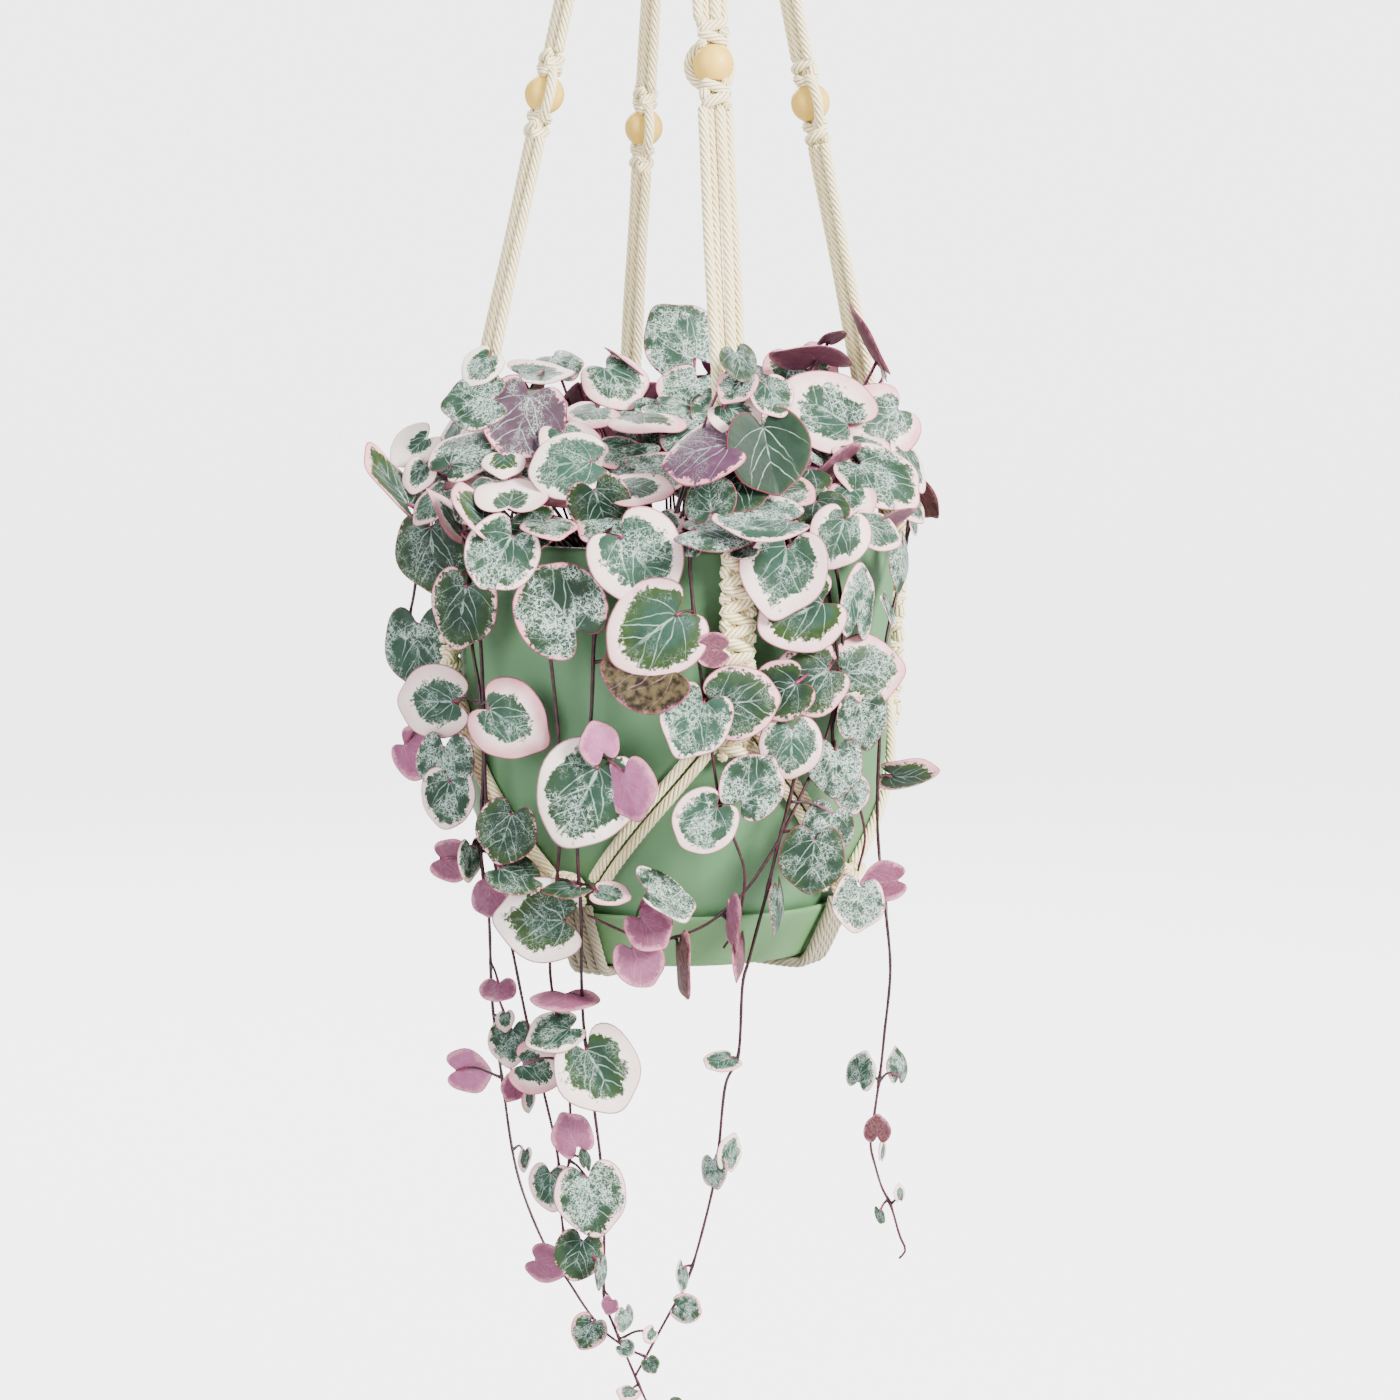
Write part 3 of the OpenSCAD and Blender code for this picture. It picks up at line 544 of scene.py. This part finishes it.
def knotted(name, node, m, half_knots, pitch, wide, deep):
    """A band or knot in its own frame m: X across, -Y outwards, Z up from its top."""
    soup = Soup("groove")
    length = half_knots * pitch
    lines = list(knot_lines(half_knots, pitch, wide, deep))
    for x in (-CORE_GAP / 2, CORE_GAP / 2):
        lines.append([(x, 0.2 * MM, z) for z in (0, -length / 2, -length)])
    for k, line in enumerate(lines):
        world = [m @ Vector(p) for p in line]
        rope_shell(soup, world, d=KNOT_CORD_D if k < 2 else 0.85 * KNOT_CORD_D, phase=k)
    place(soup.build(name, CORD), "cotton_cord", node)


TOP = WRAP_LOW - RIM_Z - 0.3 * MM
for i in range(4):
    n = i + 1
    bead_z = LEGS[i][1] * MM
    straight_cords("upper_cord", f"upper_cords_{n}", i, TOP,
                   (TOP - bead_z) / math.cos(TILT) - KNOT_END)
    start = bead_z - KNOT_END * math.cos(TILT)
    straight_cords("lower_cord", f"lower_cords_{n}", i, start,
                   (start - LEG_LOW + RIM_Z) / math.cos(TILT))

# bead knots: a square knot on each side of the bead, two cords through it and two round it
for i in range(4):
    m = leg_frame(i, LEGS[i][1] * MM) @ QUARTER_TURN
    soup = Soup("groove")
    for side in (1, -1):
        top = side * KNOT_OFF + KNOT_H / 2
        front, back = knot_lines(2, KNOT_H / 2, 3.7 * MM, 2.6 * MM, first=0 if side > 0 else 1)
        for k, line in enumerate((front, back)):
            world = [m @ Vector((p[0], p[1], p[2] + top)) for p in line]
            rope_shell(soup, world, phase=k + side)
    for k, x in enumerate((-1.15 * MM, 1.15 * MM)):
        rope_shell(soup, [m @ Vector((x, 0, z)) for z in (KNOT_OFF + 4 * MM, 0, -KNOT_OFF - 4 * MM)],
                   d=2.3 * MM, phase=k)
    # the loops lie tight on the bead; those of the front leg have slipped behind its middle
    behind = 4.2 * MM if i == 2 else 0
    r = math.sqrt(((BEAD_D + CORD_D) / 2) ** 2 - behind ** 2)
    for side in (1, -1):
        loop = [m @ Vector((side * max(r * math.cos(math.radians(a)), 2.6 * MM),
                            behind * math.cos(math.radians(a)), 1.08 * r * math.sin(math.radians(a))))
                for a in range(-84, 85, 12)]
        rope_shell(soup, loop, phase=side)
    place(soup.build(f"bead_knot_{i + 1}", CORD), "cotton_cord", f"bead_knots_{i + 1}")

    edge = 0.7 * MM
    half, bore = BEAD_D / 2, BORE_D / 2
    a0 = math.degrees(math.acos(bore / half))
    lip = math.sqrt(half ** 2 - bore ** 2)
    ball = [(half * math.cos(math.radians(a)), half * math.sin(math.radians(a)))
            for a in np.linspace(a0 - 4, -a0 + 4, 40)]
    profile = ball + [(bore + 0.1 * MM, -lip + 0.25 * MM), (bore, -lip + edge), (bore, lip - edge),
                      (bore + 0.1 * MM, lip - 0.25 * MM), ball[0]]
    bead = lathe(f"bead_piece_{i + 1}", profile, BEAD_WOOD, 64)
    bead.matrix_world = leg_frame(i, LEGS[i][1] * MM)
    place(bead, "bead_wood", f"bead_{i + 1}")

# knotted bands on the pot, the cords that branch below them, and the knots of the cradle
for i in range(4):
    bearing = math.radians(LEGS[i][0])
    lean = math.atan(POT_TAPER)
    m = (Matrix.Rotation(bearing, 4, "Z") @ Matrix.Translation((POT_R + 0.3 * MM, 0, RIM_Z + 2 * MM))
         @ Matrix.Rotation(lean, 4, "Y") @ Matrix.Translation((3.9 * MM, 0, 0))
         @ QUARTER_TURN)
    knotted(f"band_{i + 1}", f"knot_band_{i + 1}", m, BAND_HALF_KNOTS, BAND_LENGTH / BAND_HALF_KNOTS,
            4.3 * MM, 1.9 * MM)
    soup = Soup("groove")
    for side in (-1, 1):
        for lane in (-3.1, 3.1):
            line = []
            for k in range(-1, 13):
                z = (BRANCH_TOP + lane + (BRANCH_LOW - BRANCH_TOP) * k / 12) * MM
                b = bearing + math.radians(side * (6.6 + 31.8 * k / 12))
                r = pot_at(z) + CORD_D / 2 + 0.3 * MM
                line.append((r * math.cos(b), r * math.sin(b), RIM_Z + z))
            rope_shell(soup, line, phase=lane + side)
    place(soup.build(f"branch_{i + 1}", CORD), "cotton_cord", f"branch_cords_{i + 1}")

for i, bearing in enumerate(CRADLES):
    m = (Matrix.Rotation(math.radians(bearing), 4, "Z")
         @ Matrix.Translation((pot_at(CRADLE_Z) + 4.6 * MM, 0, RIM_Z + CRADLE_Z))
         @ Matrix.Rotation(math.radians(24), 4, "Y") @ Matrix.Translation((0, 0, 4.5 * MM))
         @ QUARTER_TURN)
    knotted(f"cradle_{i + 1}", f"cradle_knot_{i + 1}", m, 2, 4.3 * MM, 4.7 * MM, 2.2 * MM)
    soup = Soup("groove")
    b = math.radians(bearing)
    for k, lane in enumerate((-5.2, -1.75, 1.75, 5.2)):
        line = [((r * math.cos(b) - lane * math.sin(b)) * MM,
                 (r * math.sin(b) + lane * math.cos(b)) * MM,
                 RIM_Z + z * MM) for r, z in BASE_ROUTE]
        rope_shell(soup, line, phase=k)
    # the base cords take the cord material with painted shade
    place(soup.build(f"base_cord_{i + 1}", SHADED_CORD), "cotton_cord", f"base_cords_{i + 1}")

# the knot under the saucer: a flat coil of three rings round the gathered cords
soup = Soup("groove")
for turn, r in enumerate((3.0, 7.0, 11.6)):
    ring = [(r * MM * math.cos(a), r * MM * math.sin(a), RIM_Z - (135.9 + 0.25 * (turn % 2)) * MM)
            for a in np.linspace(0, 2 * math.pi, 28)]
    rope_shell(soup, ring, d=(4.6, 4.6, 5.0)[turn] * MM, phase=turn)
# the base coil takes the cord material with painted shade
place(soup.build("base_coil", SHADED_CORD), "cotton_cord", "base_knot")

# the hanging ring, the cords folded over it and the wrap knot
circle = [(RING_MID + RING_ROD / 2 * math.cos(a), RING_ROD / 2 * math.sin(a))
          for a in np.linspace(0, 2 * math.pi, 33)]
ring = lathe("ring", circle, RING_WOOD, 128)
ring.matrix_world = (Matrix.Translation((0, 0, -(RING_MID - RING_ROD / 2)))
                     @ Matrix.Rotation(math.radians(90), 4, "X"))
place(ring, "ring_wood", "hanging_ring")

soup = Soup("groove")
fold = (RING_ROD + CORD_D) / 2 + 0.15 * MM
for i in range(8):
    a = math.radians(15 * (i - 3.5))
    e = np.array([math.sin(a), 0, -math.cos(a)])
    c = np.array([0, 0, -(RING_MID - RING_ROD / 2)]) + RING_MID * e
    x, y = 1.9 * (i - 3.5) * MM, (2.5 + 3.6 * (i % 2)) * MM
    low = WRAP_TOP - 3 * MM
    over = [c - fold * math.cos(math.radians(f)) * e + np.array([0, fold * math.sin(math.radians(f)), 0])
            for f in range(-90, 91, 15)]
    ends = [[(x, s * y, low), (0.5 * (x + c[0]), s * 0.5 * (y + fold), 0.5 * (low + c[2]))]
            for s in (-1, 1)]
    rope_shell(soup, ends[0] + over + ends[1][::-1], phase=i)
place(soup.build("ring_cords", CORD), "cotton_cord", "ring_strands")

soup = Soup("groove")
turns, r = 9, 11.5 * MM - CORD_D / 2
coil = [(r * math.cos(a), r * math.sin(a), WRAP_TOP - CORD_D / 2 - 0.3 * MM
         - (WRAP_TOP - WRAP_LOW - CORD_D - 0.6 * MM) * a / (2 * math.pi * turns))
        for a in np.linspace(0, 2 * math.pi * turns, 36 * turns)]
rope_shell(soup, coil, d=3.3 * MM)
# seven cords round a thicker middle one fill the coil
heights = (WRAP_TOP - 0.5 * MM, 0.5 * (WRAP_TOP + WRAP_LOW), WRAP_LOW + 0.5 * MM)
for k in range(7):
    a = 2 * math.pi * k / 7
    rope_shell(soup, [(6.2 * MM * math.cos(a), 6.2 * MM * math.sin(a), z) for z in heights],
               d=5.2 * MM, phase=k)
rope_shell(soup, [(0, 0, z) for z in heights], d=8 * MM)
place(soup.build("wrap", CORD), "cotton_cord", "top_wrap")


# ---------------------------------------------------------------- pot, saucer, soil
def wall_line(inset, z0, z1, n):
    """The pot's wall, or its inside at an inset, from one height to another."""
    return [(pot_at(z) - inset, RIM_Z + z) for z in np.linspace(z0, z1, n)]


rim = arc(POT_R - WALL / 2, RIM_Z - WALL / 2, WALL / 2, 0, 180, 10)
foot_r = 2.5 * MM
profile = ([(0, RIM_Z - POT_H)]
           + [(pot_at(-POT_H) - foot_r + foot_r * math.sin(a),
               RIM_Z - POT_H + 0.6 * MM * (1 - math.cos(a))) for a in np.linspace(0, 1.2, 5)]
           + wall_line(0, -POT_H + 1.2 * MM, -WALL / 2 - 0.5 * MM, 48) + rim
           + wall_line(WALL, -WALL / 2 - 0.5 * MM, -POT_H + WALL, 48) + [(0, RIM_Z - POT_H + WALL)])
place(lathe("pot_shell", profile, POT_GREEN, 160), "pot_plastic", "pot")



def height(v):
    """The height of a point v mm over the rim."""
    return RIM_Z + v * MM


# the saucer: under side and rounded foot, flared wall, rolled lip, inside wall and floor
profile = [(0, height(-133)), (48.2 * MM, height(-133)), (49.2 * MM, height(-132.8)),
           (50.2 * MM, height(-131.9)), (51 * MM, height(-130.5))]
profile += [(51 * MM + (SAUCER_R - 51 * MM) * t, height(-130.5 + 13.9 * t))
            for t in np.linspace(0.08, 1, 16)]
profile += arc(SAUCER_R - 0.75 * MM, height(-116.2), 0.75 * MM, 10, 170, 8)
profile += [(SAUCER_R - 1.6 * MM - (SAUCER_R - 50.2 * MM) * t, height(-116.6 - 12.4 * t))
            for t in np.linspace(0, 1, 12)]
profile += [(49.3 * MM, height(-129.5)), (48 * MM, height(-129.6)), (0, height(-129.6))]
place(lathe("saucer_shell", profile, SAUCER_GREEN, 160), "saucer_plastic", "saucer")

# the soil: a lumpy, slightly domed top on a plain body
SOIL_LOW = SOIL_EDGE - 20 * MM
soil_r = pot_at(SOIL_EDGE) - WALL - 0.1 * MM
verts, faces, rings, turns = [(0, 0, RIM_Z - 6 * MM)], [], 34, 120
for i in range(1, rings + 1):
    r = soil_r * i / rings
    for k in range(turns):
        a = 2 * math.pi * k / turns
        x, y = r * math.cos(a), r * math.sin(a)
        lump = (math.sin(410 * x + 3) * math.cos(380 * y) + math.sin(900 * x - 700 * y) * 0.6
                + value_of(i * 131 + k, 3) * 1.6)
        dome = 5 * math.cos(1.3 * r / soil_r) + 0.6 * lump * (1 - (i / rings) ** 6)
        verts.append((x, y, RIM_Z + SOIL_EDGE + dome * MM))
for k in range(turns):
    faces.append((0, 1 + k, 1 + (k + 1) % turns))
for i in range(rings - 1):
    for k in range(turns):
        b = (k + 1) % turns
        inner, outer = 1 + i * turns, 1 + (i + 1) * turns
        faces.append((inner + k, outer + k, outer + b, inner + b))
last = 1 + (rings - 1) * turns
low = len(verts)
for k in range(turns):
    a = 2 * math.pi * k / turns
    r = pot_at(SOIL_LOW) - WALL - 0.1 * MM
    verts.append((r * math.cos(a), r * math.sin(a), RIM_Z + SOIL_LOW))
verts.append((0, 0, RIM_Z + SOIL_LOW))
for k in range(turns):
    b = (k + 1) % turns
    faces.append((last + k, low + k, low + b, last + b))
    faces.append((low + k, len(verts) - 1, low + b))
place(new_mesh("soil_top", verts, faces, SOIL), "potting_soil", "soil")


# ---------------------------------------------------------------- reading the plant's solids
def shells(node):
    """Each closed solid of a CAD node: its points, and which are joined by an edge."""
    mesh = NODES[node].data
    co = np.array([v.co for v in mesh.vertices], float)
    keys, merged = np.unique(np.round(co, 6), axis=0, return_inverse=True)
    merged = merged.ravel()
    joined = [set() for _ in keys]
    for f in mesh.polygons:
        ids = [int(merged[i]) for i in f.vertices]
        for a, b in zip(ids, ids[1:] + ids[:1]):
            if a != b:
                joined[a].add(b)
                joined[b].add(a)
    seen, found = np.zeros(len(keys), bool), []
    for start in range(len(keys)):
        if seen[start]:
            continue
        seen[start], group, stack = True, [], [start]
        while stack:
            a = stack.pop()
            group.append(a)
            for b in joined[a]:
                if not seen[b]:
                    seen[b] = True
                    stack.append(b)
        number = {g: i for i, g in enumerate(group)}
        found.append((keys[group], [[number[b] for b in joined[a]] for a in group]))
    return found


def read_leaf(points, joined):
    """Centre, tip direction, upper normal and width of a leaf solid."""
    hubs = [i for i in range(len(points)) if len(joined[i]) == HUB_EDGES]
    ring = points[[i for i in range(len(points)) if i not in hubs]]
    a, b = points[hubs[0]], points[hubs[1]]
    mid = ring.mean(axis=0)
    n = np.linalg.svd(ring - mid)[2][2]
    if abs((a - mid) @ n) < abs((b - mid) @ n):
        a, b = b, a
    up = (a - b) / np.linalg.norm(a - b)
    centre = b + 0.36 * (a - b)
    far = np.linalg.norm(ring - centre, axis=1)
    tip = ring[far.argmax()] - centre
    tip -= up * (tip @ up)
    width = np.linalg.norm(tip) / 0.57
    return centre, tip / np.linalg.norm(tip), up, width


def read_stem(points, joined):
    """The centres of a stem's rings, from the soil outwards."""
    def spread(start):
        """The distance of every point from the start, along the solid's edges."""
        best, heap = [1e9] * len(points), [(0.0, start)]
        best[start] = 0.0
        while heap:
            d, a = heapq.heappop(heap)
            if d > best[a]:
                continue
            for b in joined[a]:
                e = d + np.linalg.norm(points[a] - points[b])
                if e < best[b]:
                    best[b] = e
                    heapq.heappush(heap, (e, b))
        return best
    end = int(np.argmax(spread(0)))
    order = np.argsort(spread(end))
    line = np.array([points[order[i:i + STEM_SIDES]].mean(axis=0)
                     for i in range(0, len(points), STEM_SIDES)])
    soil = RIM + Vector((0, 0, -5 * MM))
    return line if np.linalg.norm(line[0] - soil) < np.linalg.norm(line[-1] - soil) else line[::-1]


def read_stalk(points):
    """The two ends of a stalk's prism."""
    mid = points.mean(axis=0)
    axis = np.linalg.svd(points - mid)[2][0]
    order = np.argsort((points - mid) @ axis)
    return points[order[:3]].mean(axis=0), points[order[3:]].mean(axis=0)


# ---------------------------------------------------------------- leaves
# looks: how far the green reaches, pink of the margin, moss; silver mottling, darkness, mauve
LOOKS = [(0.90, 0.4, 0.2, 0.8, 0.6, 0), (0.80, 0.6, 0.3, 0.6, 0.4, 0), (1.02, 0.7, 0.6, 0.4, 1.0, 0),
         (0.82, 1.0, 0.5, 0.8, 0.7, 0), (0.66, 0.5, 0.2, 0.6, 0.3, 0), (1.15, 0.4, 0.4, 1.0, 0.7, 0),
         (0.95, 0.8, 0.3, 1.0, 0.5, 0), (0.58, 0.9, 0.3, 0.5, 0.3, 0)]
# leaves with a look of their own: [x, z] from the middle of the rim in mm, and the look
OWN = {(-76, -3): (1.05, 0.5, 0.7, 0.5, 1.1, 0), (-82, -35): (1.10, 0.3, 0.2, 1.0, 0.5, 0),
       (-72, -70): (1.00, 0.4, 0.1, 1.0, 0.5, 0), (-11, -1): (0.70, 0.4, 0.1, 0.6, 0.1, 0),
       (-34, -18): (0.98, 1.0, 0.3, 0.9, 1.1, 0), (-7, -35): (1.00, 0.6, 1.0, 0.5, 1.0, 0),
       (-26, -73): (0.80, 0.2, 0.3, 0.6, 0.7, 0), (-22, -58): (0.90, 1.0, 0.0, 0.5, 0.0, 0),
       (-13, -71): (0.90, 1.0, 0.0, 0.5, 0.2, 0), (-5, -23): (0.80, 0.6, 0.9, 0.3, 0.5, 0),
       (7, -50): (0.90, 0.4, 0.1, 1.0, 0.2, 0), (20, -45): (0.84, 0.8, 0.5, 0.4, 1.0, 0),
       (10, -81): (0.78, 0.5, 0.2, 0.9, 0.4, 0), (24, -71): (0.95, 0.6, 0.1, 1.1, 0.8, 0),
       (39, -18): (0.74, 0.6, 1.0, 0.3, 0.6, 0), (42, -39): (0.86, 0.7, 0.8, 0.4, 0.9, 0),
       (59, -38): (0.76, 0.9, 0.9, 0.7, 0.6, 0), (56, -17): (0.92, 0.6, 0.1, 0.9, 0.4, 0),
       (-40, -115): (0.72, 0.2, 0.9, 0.4, 0.7, 0), (-23, -163): (0.70, 0.3, 0.6, 0.4, 0.7, 0),
       (-25, -205): (0.88, 0.5, 0.3, 0.9, 0.7, 0), (2, 61): (1.02, 0.4, 0.2, 1.0, 0.3, 0),
       (-48, 38): (0.90, 1.0, 0.0, 0.5, 1.0, 0.6), (10, 31): (0.90, 1.4, 0.0, 0.35, 0.6, 0.9),
       (28, 31): (1.20, 0.3, 0.3, 0.15, 1.3, 0), (48, 40): (0.64, 0.7, 0.2, 0.7, 0.5, 0),
       (66, 38): (0.60, 1.0, 0.2, 0.6, 0.4, 0), (-27, 39): (0.62, 0.9, 0.1, 0.6, 0.3, 0),
       (-9, 38): (0.60, 1.0, 0.9, 0.4, 0.6, 0), (43, 58): (0.9, 0.8, 0.45, 0.5, 0.1, 0),
       (43, -94): (1.15, 0.2, 0.5, 0.5, 1.1, 0), (48, -85): (1.10, 0.3, 0.2, 1.1, 1.0, 0),
       (33, -42): (0.90, 0.8, 0.6, 0.3, 1.1, 0), (50, -66): (1.10, 0.2, 0.1, 1.2, 0.8, 0),
       (58, -52): (1.0, 0.6, 0.2, 0.9, 0.9, 0), (-59, 10): (0.75, 0.9, 1.0, 0.3, 0.6, 0),
       (-69, 8): (0.5, 1.0, 0.6, 0.3, 0.4, 0), (-88, 16): (0.85, 0.9, 1.0, 0.4, 0.7, 0),
       (73, -73): (0.8, 1.0, 1.0, 0.2, 0.8, 0), (11, 16): (1.1, 0.3, 0.4, 0.5, 0.9, 0),
       (27, 10): (0.9, 0.4, 0.1, 0.8, 0.2, 0), (-33, -141): (0.9, 0.9, 0.0, 0.5, 0.6, 0),
       (-84, -71): (0.9, 0.9, 0.0, 0.5, 0.5, 0), (-53, 25): (0.60, 0.4, 0.9, 0.2, 0.4, 0),
       (-50, 14): (0.42, 0.5, 0.5, 0.3, 0.2, 0), (-32, 25): (0.78, 0.2, 0.1, 0.5, 0.0, 0),
       (-82, 28): (0.42, 0.2, 0.1, 0.3, 0.2, 0), (-61, 54): (0.70, 0.1, 0.7, 0.9, 0.4, 0),
       (20, 20): (1.2, 0.2, 0.6, 0.3, 1.2, 0), (18, 42): (0.6, 0.5, 0.1, 0.5, 0.3, 0),
       (19, 57): (1.1, 0.2, 0.8, 0.5, 1.1, 0), (-67, -176): (0.9, 0.9, 0.0, 0.5, 0.1, 0),
       (-3, -105): (0.95, 0.2, 0.1, 1.1, 0.9, 0), (33, -109): (1.1, 0.2, 0.4, 0.6, 0.9, 0),
       (57, -108): (0.92, 0.5, 0.1, 1.0, 0.8, 0)}
OWN_REACH = 0.6 * MM                         # how near a leaf's centre lies to its place in OWN
SIDES = 56


def leaf_shell(soup, leaf, index):
    """A cupped heart with a rounded edge: rings of points on its upper and its under side."""
    centre, tip, up, width = leaf
    side = np.cross(up, tip)
    rnd = [value_of(index, k) for k in range(16)]
    look = LOOKS[int(rnd[0] * len(LOOKS)) % len(LOOKS)]
    look = [x + 0.16 * (rnd[k + 1] - 0.5) for k, x in enumerate(look[:5])] + [0.0]
    for (x, z), own in OWN.items():
        off = max(abs(centre[0] - x * MM), abs(centre[2] - RIM_Z - z * MM))
        if off < OWN_REACH and centre[1] < 20 * MM:
            look = own
    # angles from the tip, closer together at the tip and the notch
    a = np.linspace(-np.pi, np.pi, SIDES, endpoint=False)
    a = a - 0.32 * np.sin(2 * a)
    deg = np.degrees(np.abs(a))
    rho = (0.5 + (0.05 + 0.05 * rnd[5]) * np.exp(-(deg / (15 + 6 * rnd[6])) ** 2)
           - 0.25 * np.exp(-((180 - deg) / (13 + 5 * rnd[7])) ** 2)
           + 0.035 * np.exp(-((deg - 142) / 24) ** 2)
           + 0.010 * np.sin(3 * a + 6 * rnd[8]) + 0.008 * np.sin(5 * a + 6 * rnd[9]))
    cup = (-0.22 + 0.56 * rnd[10]) / max(width, 1e-4)
    fold = 0.10 * (rnd[11] - 0.3)
    wave = 0.022 * width * (0.4 + rnd[12])
    levels = [0.0, 0.22, 0.44, 0.64, 0.8, 0.91, 0.97, 1.0]
    thick = min(1.15 * MM, 0.085 * width) * (0.8 + 0.3 * rnd[13])
    rows, place_on, edge, under = [], [], [], []

    def sheet(sign, with_edge):
        for s in levels[1:] if with_edge else levels[1:-1]:
            x, y = width * rho * s * np.cos(a), width * rho * s * np.sin(a)
            lift = -cup * (x * x + y * y) + fold * np.abs(y) - 0.05 * width * fold
            lift = lift + wave * s ** 3 * np.sin(3 * a + 6 * rnd[14])
            half = thick * math.sqrt(max(0.0, 1 - s ** 3))
            rows.append(centre + x[:, None] * tip + y[:, None] * side
                        + (lift + sign * half / 2)[:, None] * up)
            place_on.append(np.stack([x / width, y / width], axis=1))
            edge.append(np.full(SIDES, s))
            under.append(np.full(SIDES, 0.0 if sign > 0 else 1.0))
    sheet(1, True)
    top_rows = len(rows)
    sheet(-1, False)
    verts = np.vstack(rows + [centre + up * thick / 2, centre - up * thick / 2])
    hub_top, hub_low = len(verts) - 2, len(verts) - 1
    faces = []

    def strip(r0, r1, turn):
        for k in range(SIDES):
            b = (k + 1) % SIDES
            q = (r0 * SIDES + k, r1 * SIDES + k, r1 * SIDES + b, r0 * SIDES + b)
            faces.append(q if turn else q[::-1])
    for r in range(top_rows - 1):
        strip(r, r + 1, True)
    for r in range(top_rows, len(rows) - 1):
        strip(r, r + 1, False)
    strip(len(rows) - 1, top_rows - 1, False)
    for k in range(SIDES):
        b = (k + 1) % SIDES
        faces.append((hub_top, k, b))
        faces.append((hub_low, top_rows * SIDES + b, top_rows * SIDES + k))
    n = len(verts)
    at = np.zeros((n, 3))
    at[:n - 2, :2] = np.vstack(place_on)
    at[:, 2] = index * 3.7 % 50
    soup.add(verts, faces, at=at,
             edge=np.concatenate(edge + [[0.0, 0.0]]), under=np.concatenate(under + [[0.0, 1.0]]),
             look=np.tile(look[:3], (n, 1)), tone=np.tile(look[3:], (n, 1)))


def stalk_shell(soup, a, b, index):
    """A thin stalk from a leaf's notch to the stem, bowed a little."""
    span = np.linalg.norm(b - a)
    sway = 0.06 * span * (value_of(index, 21) - 0.5) * np.array([1, 0.4, 0])
    bow = (a + b) / 2 + np.array([0, 0, 0.10 * span]) + sway
    p = even([a, bow, b], max(span / 12, 0.8 * MM))
    t = np.linspace(0, 1, len(p))
    verts, faces = tube_shell(p, (0.55 + 0.25 * np.abs(2 * t - 1) ** 2) * MM * 0.75, 8)
    tint = np.concatenate([np.repeat(1 - smooth(0.1, 0.55, t), 8), [1, 0]])
    soup.add(verts, faces, tint=tint)


def stem_shell(soup, line, nodes, index):
    """A trailing stem with small swellings where its leaves part."""
    p = even(line, 1.6 * MM)
    s = run_along(p)
    r = (0.66 - 0.24 * s / s[-1]) * MM
    for q in nodes:
        near = np.linalg.norm(p - q, axis=1)
        r = r + 0.35 * MM * np.exp(-(near / (1.5 * MM)) ** 2)
    r = r * (1 + 0.05 * np.sin(s / (2.3 * MM) + index))
    verts, faces = tube_shell(p, r, 10)
    tint = np.repeat(0.05 + 0.25 * smooth(0.7, 1.0, s / s[-1]), 10)
    soup.add(verts, faces, tint=np.concatenate([tint, [0.1, 0.3]]))


index = 0
for name in sorted(n for n in NODES if n.startswith(("crown_", "vine_"))):
    leaves, stalks, stems = [], [], []
    for points, joined in shells(name):
        if len(points) == LEAF_POINTS:
            leaves.append(read_leaf(points, joined))
        elif len(points) == STALK_POINTS:
            stalks.append(read_stalk(points))
        else:
            stems.append(read_stem(points, joined))
    soup = Soup("at", "edge", "under", "look", "tone")
    for leaf in leaves:
        index += 1
        leaf_shell(soup, leaf, index)
    place(soup.build(f"{name}_leaves", LEAF), "leaf", name)
    soup = Soup("tint")
    notches = [centre - 0.245 * width * tip for centre, tip, _, width in leaves]
    for a, b in stalks:
        gaps = [min(np.linalg.norm(a - q), np.linalg.norm(b - q)) for q in notches]
        q = notches[int(np.argmin(gaps))]
        if np.linalg.norm(a - q) > np.linalg.norm(b - q):
            a, b = b, a
        index += 1
        stalk_shell(soup, q, b + 0.8 * MM * (b - a) / np.linalg.norm(b - a), index)
    for line in stems:
        ends = [min((a, b), key=lambda e: np.linalg.norm(line - e, axis=1).min()) for a, b in stalks]
        stem_shell(soup, line, ends, index)
    place(soup.build(f"{name}_stems", STEM), "leaf")


# ---------------------------------------------------------------- studio
studio = Shader("studio", 0.95, 0.1)
studio.colour((0.45, 0.45, 0.44))
seen = studio.nodes.new("ShaderNodeLightPath").outputs["Is Camera Ray"]
studio.bsdf.inputs["Emission Color"].default_value = (0.95, 0.95, 1.0, 1)
studio.put(studio.bsdf.inputs["Emission Strength"], studio.math("MULTIPLY_ADD", seen, 3.5, 0.1))
# a floor well below the longest vine that curves up into a wall all round
floor_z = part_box("vine_e")[0].z - 0.12
profile = [(0.001, floor_z), (2.6, floor_z)] + arc(2.6, floor_z + 0.9, 0.9, -90, 0, 16) + [(3.5, 4.0)]
bowl = lathe("studio_floor", profile, studio.mat, 96)

world = bpy.data.worlds.new("studio")
world.use_nodes = True
world.node_tree.nodes["Background"].inputs["Color"].default_value = (0.93, 0.95, 1.0, 1)
world.node_tree.nodes["Background"].inputs["Strength"].default_value = 1.35
bpy.context.scene.world = world


def area_light(name, at, size, power, colour=(1, 1, 1)):
    light = bpy.data.lights.new(name, "AREA")
    light.shape, light.size, light.energy, light.color = "DISK", size, power, colour
    obj = bpy.data.objects.new(name, light)
    obj.location = RIM + Vector(at)
    obj.rotation_euler = (RIM + Vector((0, 0, -0.03)) - obj.location).to_track_quat("-Z", "Y").to_euler()
    bpy.context.scene.collection.objects.link(obj)


area_light("key", (1.35, -1.15, 0.9), 0.8, 160, (1.0, 0.98, 0.95))
area_light("fill", (-1.2, -1.3, 0.5), 1.2, 34, (0.95, 0.97, 1.0))
area_light("back", (-0.4, 1.4, 0.9), 1.0, 55)
